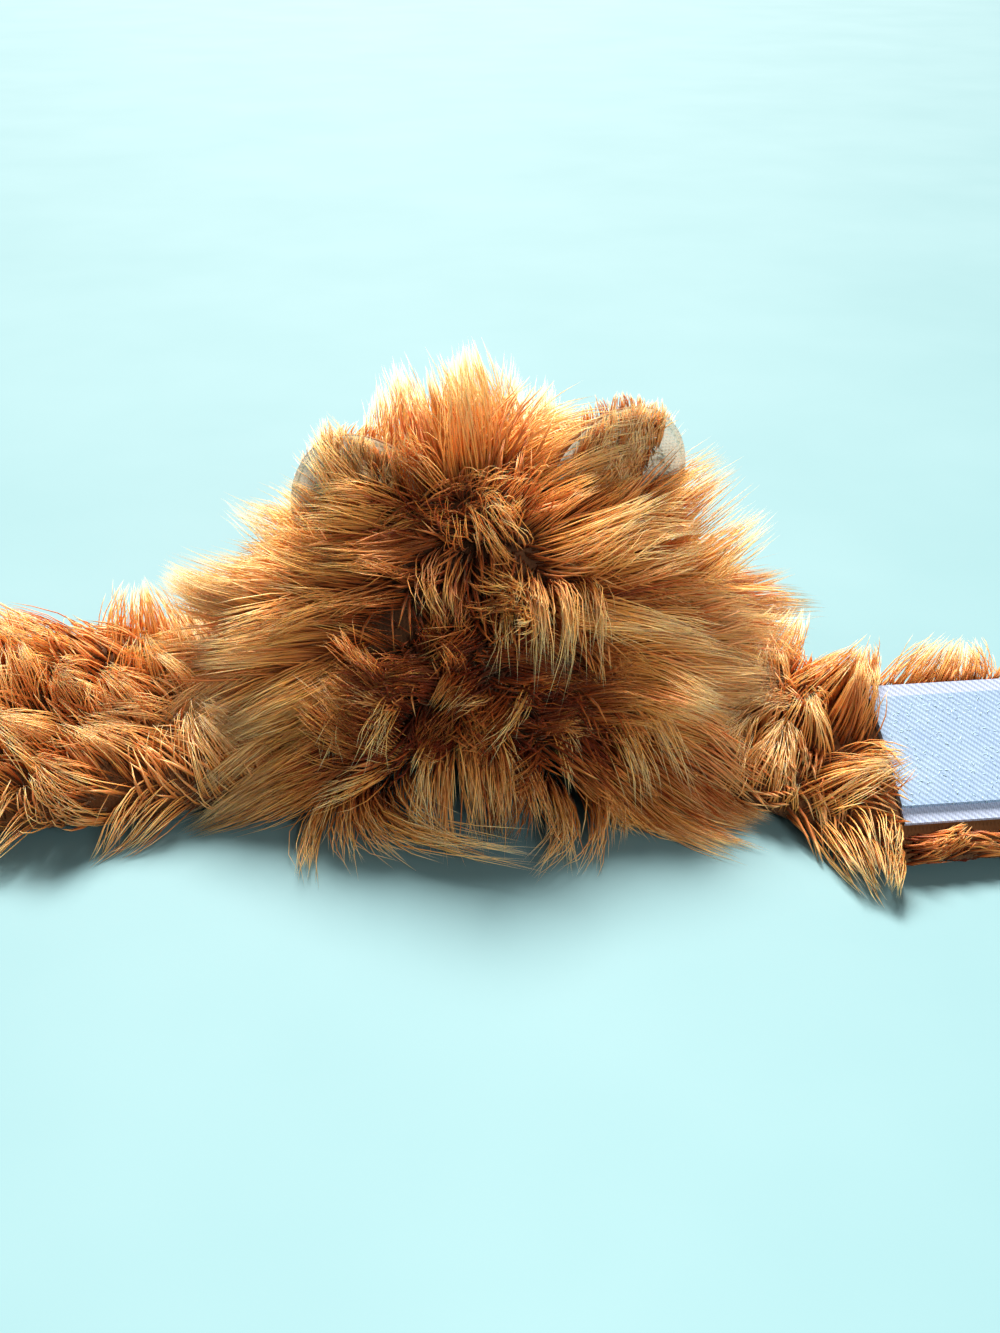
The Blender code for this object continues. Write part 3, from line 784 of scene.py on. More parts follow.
def build_stitches():
    """A row of stitches along the middle of each woven edge."""
    starts = np.arange(-TAPE_LENGTH / 2 + 1.2 * MM, TAPE_LENGTH / 2 - STITCH_LENGTH, STITCH_APART)
    share = np.linspace(0, 1, 5)
    along = np.tile(starts[:, None] + share * STITCH_LENGTH, (2, 1))
    row = np.repeat([-1, 1], len(starts))[:, None] * (TAPE_WIDTH / 2 - TAPE_EDGE * 0.55)
    across = row + (share - 0.5) * 0.5 * MM
    above = TAPE_EDGE_THICKNESS + (np.sin(share * math.pi) * 0.32 - 0.1) * MM + 0 * along
    paths = on_loop_tape(along, across, above)
    stitches = threads("loop_tape_stitches", paths, STITCH_THREAD, thread_material("stitch_thread"))
    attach(stitches, "root")


# The hood

FUR_HEART = np.array((0, 4 * MM, 16 * MM)) + SHIFT
CROWN_LENGTH = 33 * MM
SIDE_LENGTH = 38 * MM
HAIR_SHARES = np.array((0, 0.27, 0.54, 0.8, 1.0))
UNDER_SHARES = np.array((0, 0.35, 0.7, 1.0))
HAIR_WIDTH = 0.35 * MM
LAYERS = {
    # points along a hair, its width, its path's size, its tone, and how much shorter the shortest are
    "_hairs": (HAIR_SHARES, HAIR_WIDTH, 1.0, 1.0, 0.35),
    "_undercoat": (UNDER_SHARES, 0.9 * MM, 0.78, 0.6, 0.5),
}
BACK_STEPS = [0, 1, 2, 4]  # of a hair's points, at the back
HOOD_SITES = 6000
HOOD_SEEDS = {"_hairs": 21, "_undercoat": 22}
HOOD_HAIRS = {
    "_hairs": {"crown_panel": 8500, "nape_panel": 4000, "cheek_left": 7100, "cheek_right": 7000},
    "_undercoat": {"crown_panel": 1300, "nape_panel": 1100, "cheek_left": 1100, "cheek_right": 1100},
}
SLOTS = {
    "crown_panel": "fur_crown",
    "nape_panel": "fur_nape",
    "cheek_left": "fur_cheeks",
    "cheek_right": "fur_cheeks",
}

COMBING = {
    # x, y, z in mm; its way to the right, up along the cloth and out; share of length; reach in mm; tangle,
    # which also paints the fur darker as shade
    "peak": (2, 2, 73, 0.0, 0.3, 1.0, 1.06, 9, 0),
    "top_left": (-16, 6, 68, 0.35, 0.3, 0.85, 0.85, 11, 0),
    "top_sweep": (12, 0, 71, 0.6, 0.4, 0.75, 0.95, 8, 0),
    "ear_left_front": (-32, -4, 54, 0.5, 0.2, 0.75, 0.72, 8, 0),
    "ear_right_front": (33, -4, 55, 0.0, 0.35, 0.9, 1.05, 8, 0),
    "ear_right_middle": (23, -5, 63, 0.3, 0.4, 0.85, 1.0, 8, 0),
    "ear_left_side": (-42, 4, 47, -0.3, -0.2, 0.75, 0.5, 9, 0),
    "back_left": (-24, 22, 58, -0.2, -0.6, 0.6, 0.62, 13, 0),
    "back_right": (24, 24, 57, 0.2, -0.5, 0.7, 0.8, 11, 0),
    "back_top": (2, 26, 64, 0.0, -0.3, 0.9, 0.9, 9, 0),
    "nape_high": (0, 44, 46, 0.0, -0.55, 0.8, 1.0, 18, 0),
    "nape_low": (0, 54, 20, 0.0, -0.45, 0.8, 0.95, 18, 0),
    "nape_left": (-36, 38, 28, -0.3, -0.4, 0.85, 1.0, 18, 0),
    "nape_right": (36, 38, 28, 0.3, -0.4, 0.85, 1.0, 18, 0),
    "ear_right_side": (45, 7, 46, 0.2, -0.1, 0.8, 0.55, 8, 0),
    "parting": (4, -14, 66, 0.35, 0.0, 0.9, 0.7, 6, 0.1),
    "band": (-9, -12, 65, -0.8, 0.05, 0.45, 0.6, 7, 0.6),
    "band_left": (-25, -12, 57, -0.9, -0.05, 0.5, 0.75, 7, 0.3),
    "ear_left_back": (-36, 20, 48, 0.0, -0.2, 1.0, 0.5, 11, 0),
    "ear_right_back": (38, 20, 47, 0.0, -0.2, 1.0, 0.55, 11, 0),
    "side_left": (-47, -2, 36, -0.15, 0.05, 1.0, 1.15, 14, 0),
    "side_right": (48, -2, 36, 0.15, 0.0, 1.0, 1.02, 14, 0),
    "roll_right": (21, -14, 58, 0.8, 0.1, 0.6, 0.75, 8, 0),
    "roll": (-7, -21, 57, 0.05, -0.55, 0.75, 0.52, 10, 0.4),
    "golden": (13, -25, 52, -0.05, -0.9, 0.5, 0.6, 7, 0),
    "left_upper": (-35, -17, 44, -0.9, 0.1, 0.65, 1.05, 9, 0),
    "left_middle": (-40, -22, 30, -0.9, -0.05, 0.6, 1.15, 11, 0),
    "left_low": (-42, -25, 14, -0.9, -0.3, 0.55, 1.2, 11, 0),
    "left_rim": (-34, -34, 6, -0.6, -0.6, 0.6, 1.1, 8, 0),
    "left_curls": (-28, -33, 24, -0.5, -0.4, 0.8, 0.5, 7, 1),
    "mat": (-8, -38, 33, -0.2, 0.1, 0.9, 0.4, 12, 1),
    "mat_low": (-8, -43, 18, 0.3, -0.4, 0.9, 0.42, 10, 1),
    "mat_right": (8, -39, 32, 0.3, 0.4, 0.8, 0.4, 8, 1),
    "right_source": (25, -28, 41, 0.9, 0.1, 0.6, 1.0, 9, 0),
    "right_middle": (27, -34, 26, 0.8, -0.1, 0.65, 1.12, 9, 0),
    "right_far": (42, -22, 16, 0.4, -0.3, 0.85, 1.1, 11, 0),
    "right_fall": (22, -41, 10, 0.3, -0.3, 0.9, 1.12, 9, 0),
    "arch_right": (9, -45, 9, 0.05, -0.6, 0.75, 0.85, 7, 0.2),
    "arch_middle": (-8, -46, 20, 0.1, -0.8, 0.6, 0.6, 8, 0.5),
    "arch_left": (-22, -43, 12, -0.1, -0.7, 0.7, 0.65, 8, 0.4),
}
PLAIN_WEIGHT = 0.06  # of the fur that just stands out, against a combed place's own 1

HOLLOWS = (
    # x, y, z and radius in mm of the places where the fur parts: shorter and thinner there, and painted
    # darker as shade
    (-23, -27, 44, 9),
    (-13, -30, 43, 7),
    (19, -41, 20, 8),
    (12, -38, 36, 6),
    (5, -6, 70, 4),
    (16, -7, 65, 5),
)
HOLLOW_LENGTH = 0.4
HOLLOW_SHARE = 0.8  # of the hairs in its middle that are left out


def nearness(roots, places, reaches):
    """How near each root is to each place, from 0 to 1. The places are in mm from the rim's middle."""
    far = np.linalg.norm(((roots - SHIFT) / MM)[:, None] - places[None], axis=2)
    return np.exp(-((far / reaches[None]) ** 2))


def combing_at(roots):
    """The weight of each combed place at these roots, and of the plain coat last."""
    table = np.array(list(COMBING.values()))
    plain = np.full((len(roots), 1), PLAIN_WEIGHT)
    weights = np.append(nearness(roots, table[:, :3], table[:, 7]), plain, axis=1)
    return table, weights / weights.sum(1, keepdims=True)


def hood_lay(roots, normals):
    table, weights = combing_at(roots)
    right = unit(np.array((1.0, 0, 0)) - normals * normals[:, :1])
    up = np.cross(normals, right)
    combed = weights[:, :-1] @ table[:, 3:6]
    way = combed[:, :1] * right + combed[:, 1:2] * up + combed[:, 2:] * normals
    way = way + unit(roots - FUR_HEART) * weights[:, -1:]
    return unit(unit(way) + drift(roots, 14 * MM, 3) * 0.16)


def hollow_at(roots):
    table = np.array(HOLLOWS, float)
    return nearness(roots, table[:, :3], table[:, 3]).max(1)


def lowness(roots, height):
    """1 at the table, down to 0 at this height."""
    return np.clip(1 - roots[:, 2] / height, 0, 1)


def hood_length(roots):
    table, weights = combing_at(roots)
    share = weights @ np.append(table[:, 6], 1)
    length = CROWN_LENGTH + (SIDE_LENGTH - CROWN_LENGTH) * lowness(roots, HOOD_HEIGHT)
    return length * share * (1 - (1 - HOLLOW_LENGTH) * hollow_at(roots))


FULL_COLOUR = 27 * MM
# share of locks whose curls keep pale tips in the dark fur, as painted highlights
HIGHLIGHT_CURLS = 0.08
ROOT_LIFT = 0.48
SHADE_HEIGHT = 20 * MM  # below which the fur is painted darker, as shade near the table
LIT_CROWN_HEIGHT = 42 * MM  # above which its roots are painted paler, as light falling on the crown
FULL_LIT_CROWN_HEIGHT = 68 * MM
DROOP_HEIGHT = 45 * MM  # below which it droops more


def hood_reach(roots, lengths, lock_of, chance):
    """How far a hair's colour gets: short fur stays dark to its tips, and tangled fur and the hollows are
    painted darker still, as shade; a few curls keep their full colour, as painted highlights.
    """
    pale = (chance.random(lock_of.max() + 1) < HIGHLIGHT_CURLS)[lock_of]
    plain = np.clip(lengths / FULL_COLOUR, 0.3, 1) * (1 - 0.5 * hood_tangle(roots) * ~pale)
    return np.where(pale, 1.0, plain) * (1 - 0.5 * hollow_at(roots))


def hood_start(roots):
    """Where a hair's colour starts: the crown is painted pale down to its roots, as light falling on top;
    low, tangled and hollow fur starts darker, as painted shade.
    """
    least = 0.2 * np.clip(roots[:, 2] / SHADE_HEIGHT, 0, 1)
    height = np.clip((roots[:, 2] - LIT_CROWN_HEIGHT) / (FULL_LIT_CROWN_HEIGHT - LIT_CROWN_HEIGHT), least, 1)
    return ROOT_LIFT * height * (1 - hollow_at(roots)) * np.maximum(1 - 1.5 * hood_tangle(roots), 0)


def hood_tangle(roots):
    # How tangled the fur is here: tangled hairs stray and curl more, and are painted darker as the shade in
    # the matted fur.
    table, weights = combing_at(roots)
    return weights @ np.append(table[:, 8], 0)


def hood_droop(roots):
    share = hood_length(roots) / SIDE_LENGTH
    return (3 * MM + 11 * MM * lowness(roots, DROOP_HEIGHT)) * share


def hood_tone(roots):
    """The coat is painted paler towards the crown, as light on top, and darker where it is tangled and near
    the table, as painted shade.
    """
    high = np.clip(roots[:, 2] / HOOD_HEIGHT, 0, 1)
    return 0.7 + 0.18 * high - 0.62 * hood_tangle(roots) - 0.3 * lowness(roots, SHADE_HEIGHT)


def tone_of(roots, lock_of, tuft_of, chance, base):
    """A tone for each hair, from dark to pale: alike within a lock, and drifting over the coat."""
    broad = drift(roots, 24 * MM, 5)[:, 0]
    locks = chance.normal(size=lock_of.max() + 1)[lock_of]
    tufts = chance.normal(size=tuft_of.max() + 1)[tuft_of]
    own = chance.normal(size=len(roots))
    return np.clip(base + 0.1 * broad + 0.2 * tufts + 0.25 * locks + 0.16 * own, 0.02, 0.98)


def hood_faces():
    """The points, normals and quads that the hood's hairs grow from, and each quad's panel."""
    points, normals, faces, owner, start = [], [], [], [], 0
    for index, name in enumerate(SLOTS):
        outer, out = hood_surface(panel_ways(name, ROOT_INSET))
        quads = grid_faces(*outer.shape[:2])
        points.append(outer.reshape(-1, 3))
        normals.append(out.reshape(-1, 3))
        faces.append(quads + start)
        owner.append(np.full(len(quads), index))
        start += len(points[-1])
    return (np.concatenate(part) for part in (points, normals, faces, owner))


def area_of(points, faces):
    a, b, c, d = (points[faces[:, k]] for k in range(4))
    return np.linalg.norm(np.cross(c - a, d - b), axis=1).sum() / 2


LOOSE_LOCKS = (
    # root x, y, z, tip x, y, z and radius at the root in mm, hairs, tone
    (-28, -39, 8, -1, -70, 7, 3.0, 70, 0.8),
    (-22, -42, 14, -12, -66, 9, 2.0, 30, 0.7),
    (-37, -33, 6, -47, -67, 2, 2.6, 60, 0.8),
    (-33, -36, 8, -38, -66, 2, 2.0, 40, 0.6),
    (14, -44, 6, 5, -70, 2, 2.2, 50, 0.75),
    (20, -42, 8, 16, -72, 2, 2.2, 50, 0.6),
    (-31, -38, 8, -26, -64, 3, 2.6, 60, 0.6),
    (-17, -44, 17, -19, -60, 5, 2.2, 50, 0.5),
    (-6, -46, 21, -4, -60, 9, 2.2, 40, 0.4),
    (4, -46, 17, 8, -62, 6, 2.4, 50, 0.5),
    (11, -45, 10, 12, -68, 2, 2.4, 50, 0.6),
    # The pale curls below, over the dark middle front, have pale tips of their own, raised further as painted
    # highlights.
    (-34, -31, 27, -41, -45, 20, 1.6, 36, 1.0),
    (-24, -37, 30, -31, -54, 24, 1.8, 40, 1.0),
    (-16, -43, 23, -21, -61, 14, 1.8, 40, 1.0),
    (-26, -40, 14, -45, -52, 13, 1.6, 34, 0.95),
    (6, -40, 32, -5, -57, 27, 1.5, 26, 0.95),
    (12, -39, 24, 16, -56, 15, 1.5, 26, 0.8),
    (-2, -42, 24, 3, -57, 14, 1.5, 26, 0.7),
    (9, -27, 52, 8, -48, 41, 2.2, 60, 0.95),
    (14, -26, 52, 14, -49, 40, 2.2, 60, 0.9),
    (20, -24, 51, 23, -45, 41, 2.2, 50, 0.85),
    (2, -30, 49, 0, -47, 42, 1.8, 36, 0.9),
    (28, -31, 28, 44, -55, 12, 2.2, 50, 0.95),
    (24, -34, 24, 32, -60, 12, 2.2, 44, 0.95),
    (-13, -46, 22, -14, -63, 3, 2.6, 60, 0.5),
    (-8, -46, 24, -8, -62, 4, 2.6, 60, 0.6),
    (-2, -46, 22, -1, -63, 3, 2.6, 60, 0.5),
    (24, -40, 9, 27, -61, 2, 2.2, 50, 0.6),
)


LOCK_REACH = 0.55  # how far out it goes first, as a share of the way to its tip
LOCK_TIP = 2.0 * MM  # how far apart its hairs end
LOCK_SWING = 1.5 * MM


def loose_locks(left, chance):
    """The paths and tones of single locks over one cheek's fur, that go out first, then to their tips."""
    paths, tones = [], []
    for x, y, z, *tip, radius, hairs, tone in LOOSE_LOCKS:
        if (x < 0) != left:
            continue
        root, end = np.array((x, y, z)) * MM + SHIFT, np.array(tip) * MM + SHIFT
        out = unit(root - FUR_HEART) * np.linalg.norm(end - root) * LOCK_REACH
        roots = root + chance.normal(0, radius * MM / 2, (hairs, 3))
        ends = end + chance.normal(0, LOCK_TIP, (hairs, 3)) + (roots - root) * 0.5
        turns = roots + out * chance.uniform(0.6, 1.2, (hairs, 1)) + chance.normal(0, 2.5 * MM, (hairs, 3))
        s = HAIR_SHARES[None, :, None] * chance.uniform(0.6, 1.1, (hairs, 1, 1))
        path = roots[:, None] * (1 - s) ** 2 + turns[:, None] * 2 * s * (1 - s) + ends[:, None] * s**2
        swing = unit(chance.normal(size=3)) * LOCK_SWING + chance.normal(0, 0.5 * MM, (hairs, 1, 3))
        paths.append(path + swing * np.sin(s * 4.4 + chance.uniform(0, 6)) * s)
        tones.append(np.clip(tone + chance.normal(0, 0.2, hairs), 0.05, 0.98))
    return clear_of_table(np.concatenate(paths), chance), np.concatenate(tones)


def hood_cloths():
    """Each panel's sheet of cloth."""
    # The backing's very dark brown is partly painted shade: where it shows between the hairs it stands for
    # the shadow deep in the pile.
    backing = cloth_material("hood_backing", (0.055, 0.02, 0.008), (0.12, 0.05, 0.02))
    cloths = {}
    for name in SLOTS:
        outer, inner = (hood_surface(panel_ways(name, SEAM_INSET), depth)[0] for depth in (CLOTH_FACE, CLOTH))
        cloths[name] = shell_from(name + "_cloth", outer, inner, backing)
    return cloths


def grow_hood(layer, piles):
    """Grow one layer of all four panels' fur at once, so that its locks cross their seams."""
    shares, width, size, tone, shorter = LAYERS[layer]
    points, normals, faces, owner = hood_faces()
    coat = Coat(hood_lay, hood_length, hood_droop, tangle=hood_tangle, area=area_of(points, faces))
    chance = np.random.default_rng(HOOD_SEEDS[layer])
    counts = [HOOD_HAIRS[layer][name] for name in SLOTS]
    rooted = [scatter((points, normals, faces[owner == k]), count, chance) for k, count in enumerate(counts)]
    roots, root_normals = (np.concatenate(part) for part in zip(*rooted))
    root_owner = np.repeat(np.arange(len(SLOTS)), counts)
    sites = scatter((points, normals, faces), HOOD_SITES, chance)
    paths, lock_of, tuft_of = comb(coat, roots, root_normals, *sites, chance, shares, shorter)
    paths = clear_of_table(roots[:, None] + (paths - roots[:, None]) * size, chance)
    tones = tone_of(roots, lock_of, tuft_of, chance, hood_tone(roots)) * tone
    reach = hood_reach(roots, np.linalg.norm(paths[:, -1] - roots, axis=1), lock_of, chance)
    start = hood_start(roots)
    keep = ~covers_tape(paths) & (chance.random(len(roots)) > HOLLOW_SHARE * hollow_at(roots))
    for index, name in enumerate(SLOTS):
        rows = keep & (root_owner == index)
        label = name.replace("_panel", "") + layer
        mine = paths[rows][:, BACK_STEPS] if label == "nape_hairs" else paths[rows]
        pile = strands(label, mine, width, tones[rows], fur, chance, reach[rows], start[rows])
        piles[name].append(pile)
        stand_in(pile, name, SLOTS[name])


def build_hood():
    cloths = hood_cloths()
    piles = {name: [] for name in SLOTS}
    for layer in LAYERS:
        grow_hood(layer, piles)
    for name, seed in (("cheek_left", 10), ("cheek_right", 11)):
        chance = np.random.default_rng(seed)
        paths, tones = loose_locks(name == "cheek_left", chance)
        pile = strands(name + "_locks", paths, HAIR_WIDTH, tones, fur, chance)
        piles[name].append(pile)
        stand_in(pile, name, SLOTS[name])
    for name, cloth in cloths.items():
        stand_in(cloth, name, SLOTS[name])
        middle = hood_surface(panel_ways(name, SEAM_INSET), CLOTH / 2)[0]
        area = area_of(middle.reshape(-1, 3), grid_faces(*middle.shape[:2]))
        long, wide = flat_size(middle)
        area = min(max(area / (long * wide), 0.3), 1.0) * long * wide
        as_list(piles[name])


def flat_size(grid):
    """The length of a grid's longest row and of its middle column: the cut's own length and width."""
    rows, column = np.diff(grid, axis=1), np.diff(grid[:, grid.shape[1] // 2], axis=0)
    return float(np.linalg.norm(rows, axis=2).sum(1).max()), float(np.linalg.norm(column, axis=1).sum())


# Straps

STRAP_ROWS = {
    # x, y of the near edge, y of the far edge, height at the near edge, height at the far edge
    "left": (
        (33, -26, 12, 8, 16),
        (60, -32, 14, 9, 22),
        (90, -38, 11, 10, 28),
        (120, -40, 8, 10, 30),
        (150, -40, 7, 9, 26),
    ),
    "right": (
        (33, -26, 12, 8, 16),
        (60, -48, -2, 9, 24),
        (86, -78, -40, 9, 29),
        (151, -78, -40, 9, 29),
    ),
}
STRAP_SECTIONS = 40
CORNER_CUTS = 3
STRAP_SITES = 3000
ROLL_SITES = 1200
STRAP_BULGE = 3 * MM
STRAP_LIFT = 0.6 * MM  # of its underside above the table
# how far out each ring of its rounded end is, and how wide
STRAP_CAPS = ((1.4 * MM, 0.94), (2.6 * MM, 0.8), (3.2 * MM, 0.5), (3.4 * MM, 0.05))
STRAP_LENGTHS = {"left": 23 * MM, "right": 18.5 * MM}
STRAP_HAIRS = {"left_hairs": 4100, "right_hairs": 3300, "left_undercoat": 1000, "right_undercoat": 700}
ROLL_HAIRS = 1000
ROLL_LENGTH = 8 * MM
BARE_FROM_X = 86 * MM
STRAP_END_X = 150 * MM
STRAP_TONE = 0.84
STRAP_START = 0.26


def rounded(ring):
    """A closed ring of points with its corners cut off again and again."""
    for _ in range(CORNER_CUTS):
        after = np.roll(ring, -1, axis=-2)
        cut = np.stack([ring * 0.75 + after * 0.25, ring * 0.25 + after * 0.75], axis=-2)
        ring = cut.reshape(*ring.shape[:-2], -1, ring.shape[-1])
    return ring


def out_of_hood(points, depth):
    """Move what is inside the hood out sideways, to this depth under its outer surface."""
    apart = points - HOOD_CENTRE
    x, y, z = apart[..., 0], apart[..., 1], np.clip(apart[..., 2], 0, HOOD_HEIGHT * 0.98)
    across = np.maximum(np.hypot(x / (HOOD_HALF_WIDTH - depth), y / (HOOD_HALF_DEPTH - depth)), 1e-6)
    room = (1 - (z / HOOD_HEIGHT) ** HOOD_ROUNDNESS) ** (1 / HOOD_ROUNDNESS)
    scale = np.maximum(room / across, 1)
    moved = points.copy()
    moved[..., :2] = HOOD_CENTRE[:2] + apart[..., :2] * scale[..., None]
    return moved, scale > 1.001


def strap_grid(side):
    """Rings of points round the strap, from the hood to its end."""
    table = np.array(STRAP_ROWS[side], float) * MM
    steps = np.linspace(table[0, 0], table[-1, 0], STRAP_SECTIONS)
    smooth = np.stack([np.interp(steps, table[:, 0], table[:, k]) for k in range(1, 5)], -1)
    near_y, far_y, near_z, far_z = smooth.T
    low = np.full_like(near_y, STRAP_LIFT)
    corners = (
        (near_y, low),
        (near_y - STRAP_BULGE, near_z * 0.5),
        (near_y - 0.4 * MM, near_z * 0.9),
        (near_y + 1.2 * MM, near_z + 0.4 * MM),
        (far_y - 1.2 * MM, far_z - 0.4 * MM),
        (far_y + 0.8 * MM, far_z * 0.88),
        (far_y + STRAP_BULGE, far_z * 0.5),
        (far_y, low),
    )
    ring = rounded(np.stack([np.stack([steps, y, z], -1) for y, z in corners], axis=1))
    middle = ring[-1].mean(0)
    caps = []
    for out, share in STRAP_CAPS:
        cap = middle + (ring[-1] - middle) * share
        cap[:, 0] = ring[-1][:, 0] + out
        cap[:, 2] = np.maximum(cap[:, 2], STRAP_LIFT)
        caps.append(cap[None])
    start = ring[:1].mean(1, keepdims=True)
    start = start + (ring[:1] - start) * 0.05
    grid = np.concatenate([start, ring] + caps)
    if side == "left":
        grid[..., 0] *= -1
        grid = grid[:, ::-1]
    return grid + SHIFT


def grid_normals(grid):
    """Outward normals of a grid whose columns close on themselves."""
    round_it = np.roll(grid, -1, axis=1) - np.roll(grid, 1, axis=1)
    along = np.gradient(grid, axis=0)
    return unit(np.cross(along, round_it))


def closed_tube(name, grid, material):
    """A closed mesh through a grid's rings, with a face over each end."""
    rows, columns = grid.shape[:2]
    quads = grid_faces(rows, columns, closed=True)
    first = np.arange(columns)[None, ::-1]
    last = np.arange(columns)[None] + (rows - 1) * columns
    return mesh_from(name, grid.reshape(-1, 3), [quads, first, last], material)


def strap_lay(side):
    out = np.array((-1.0 if side == "left" else 1.0, 0.0, 0.0))

    def lay(roots, normals):
        behind = 0.3 if side == "left" else 0.9
        lift = np.where(normals[:, 1:2] > 0.3, behind, np.where(normals[:, 1:2] > -0.5, 0.3, 0.0))
        way = unit(normals + out * 0.6 + UP * lift)
        return unit(way + drift(roots, 15 * MM, 8 if side == "left" else 9) * 0.3)

    return lay


def bare_faces(side, middle, facing):
    """Which faces grow no long hair: the underside, and on the right strap the side with the tape."""
    bare = (facing[:, 2] < -0.5) | (middle[:, 2] < 2.5 * MM)
    if side == "right":
        bare |= (middle[:, 0] - SHIFT[0] > BARE_FROM_X) & (facing[:, 1] < 0.3) & (facing[:, 0] < 0.5)
    return bare


def roll_faces(middle, facing):
    """Which faces of the right strap are under the tape, down to the table."""
    near = (facing[:, 1] < -0.15) & (facing[:, 2] < 0.8)
    return near & (middle[:, 0] - SHIFT[0] > BARE_FROM_X) & (middle[:, 2] > 1 * MM)


def build_strap(side):
    name = "strap_" + side
    backing = cloth_material(name + "_backing", (0.1, 0.035, 0.01), (0.18, 0.07, 0.022))
    grid = strap_grid(side)
    outward = grid_normals(grid)
    grid, inside = out_of_hood(grid, 1.2 * MM)
    core = closed_tube(name + "_core", grid, backing)
    stand_in(core, name, "fur_straps")
    points, normals = grid.reshape(-1, 3), outward.reshape(-1, 3)
    faces = grid_faces(*grid.shape[:2], closed=True)
    middle = points[faces].mean(1)
    facing = unit(normals[faces].mean(1))
    bare = bare_faces(side, middle, facing) | inside.reshape(-1)[faces].any(1)
    weights = np.where(bare, 0.0, 1.0)
    coat = Coat(
        strap_lay(side),
        lambda roots: STRAP_LENGTHS[side] * np.where(roots[:, 0] - SHIFT[0] > STRAP_END_X, 0.5, 1.0),
        lambda roots: 3 * MM + 5 * MM * lowness(roots, 25 * MM),
        tuft_apart=15 * MM,
        lock_apart=3.6 * MM,
        tuft_pull=0.78,
        lock_pull=0.82,
        curl=0.16,
        lock_wave=0.6 * MM,
        tuft_wave=1.4 * MM,
        hair_stray=0.08,
        frizz=0.35 * MM,
        area=area_of(points, faces[~bare]),
    )
    chance = np.random.default_rng(31 if side == "left" else 32)
    surface = (points, normals, faces)
    for layer, (shares, width, size, tone, shorter) in LAYERS.items():
        counts = (STRAP_HAIRS[side + layer], STRAP_SITES)
        roots, paths, locks, tufts = grow(coat, surface, weights, counts, chance, shares, shorter)
        paths = clear_of_table(roots[:, None] + (paths - roots[:, None]) * size, chance)
        tones = tone_of(roots, locks, tufts, chance, STRAP_TONE) * tone
        keep = ~covers_tape(paths)
        pile = strands(name + layer, paths[keep], width, tones[keep], fur, chance, start=STRAP_START)
        stand_in(pile, name, "fur_straps")
    if side == "right":
        build_roll(surface, roll_faces(middle, facing), name)


def build_roll(surface, where, name):
    """Matted short fur under the tape, laid along the strap."""
    chance = np.random.default_rng(33)
    coat = Coat(
        lambda roots, out: unit(TAPE_ALONG + out * 0.45 + drift(roots, 9 * MM, 14) * 0.5),
        lambda roots: np.full(len(roots), ROLL_LENGTH),
        lambda roots: np.full(len(roots), 0.5 * MM),
        tuft_apart=9 * MM,
        lock_apart=2.6 * MM,
        tuft_wave=0.6 * MM,
        lock_wave=0.5 * MM,
        tangle=lambda roots: np.full(len(roots), 0.5),
        area=area_of(surface[0], surface[2][where]),
    )
    weights, counts = np.where(where, 1.0, 0.0), (ROLL_HAIRS, ROLL_SITES)
    roots, paths, locks, tufts = grow(coat, surface, weights, counts, chance, UNDER_SHARES, 0.3)
    _, across, above = on_tape(paths)
    keep = ~((np.abs(across) < TAPE_WIDTH / 2) & (above > -1.5 * MM)).any(1)
    paths = clear_of_table(paths, chance)
    tones = tone_of(roots, locks, tufts, chance, 0.6)
    pile = strands(name + "_roll", paths[keep], 0.6 * MM, tones[keep], fur, chance, reach=0.75)
    stand_in(pile, name, "fur_straps")


# Ears

EAR_WIDTH = 37 * MM
EAR_HEIGHT = 46 * MM
EAR_CUP = 5 * MM
EAR_TURN = math.radians(14)
EARS = {
    # x, y and z of its foot, and its lean to the right
    "left": (-21 * MM, 7 * MM, 38 * MM, math.radians(-16)),
    "right": (24 * MM, 7 * MM, 44 * MM, math.radians(24)),
}
EAR_CELLS = 24
EAR_FUR_EDGE = 0.86  # of its outline: the pile keeps inside the pale rim
EAR_BACK_EDGE = 0.95  # the same, for the fur on its back
OVERLAP_HEIGHT = 0.78  # of the ear's, that the hood's fur covers in front
OVERLAP_EDGE = -0.4  # of its half width, on the ear's outer side
PLUSH_OUTLINE = 0.94  # of the cover's
EAR_SITES = 900


def ear_layer(side, outline, front, back):
    """Front and back grids of an ear's layer, these distances from its cupped surface at its middle."""
    steps = np.linspace(-1, 1, EAR_CELLS + 1)
    v, u = np.meshgrid(steps, steps, indexing="ij")
    x = u * np.sqrt(1 - v**2 / 2)
    z = v * np.sqrt(1 - u**2 / 2)
    out = np.hypot(x, z)
    cup = -EAR_CUP * out**2 * outline**2
    round_off = np.sqrt(np.maximum(1 - out**4, 0))
    across, high = x * EAR_WIDTH / 2 * outline, z * EAR_HEIGHT / 2 * outline + EAR_HEIGHT / 2
    depths = [cup + away * (0.2 + 0.8 * round_off) for away in (front, back)]
    return *(place_ear(side, np.stack([across, depth, high], -1)) for depth in depths), out


def place_ear(side, points):
    x, y, z, lean = EARS[side]
    turn = math.copysign(EAR_TURN, x)
    spin = np.array(((math.cos(turn), -math.sin(turn), 0), (math.sin(turn), math.cos(turn), 0), (0, 0, 1)))
    tip = np.array(((math.cos(lean), 0, math.sin(lean)), (0, 1, 0), (-math.sin(lean), 0, math.cos(lean))))
    return points @ (tip @ spin).T + np.array((x, y, z)) + SHIFT


def surface_normals(grid, towards):
    normal = unit(np.cross(np.gradient(grid, axis=1), np.gradient(grid, axis=0)))
    return normal if (normal @ towards).mean() > 0 else -normal


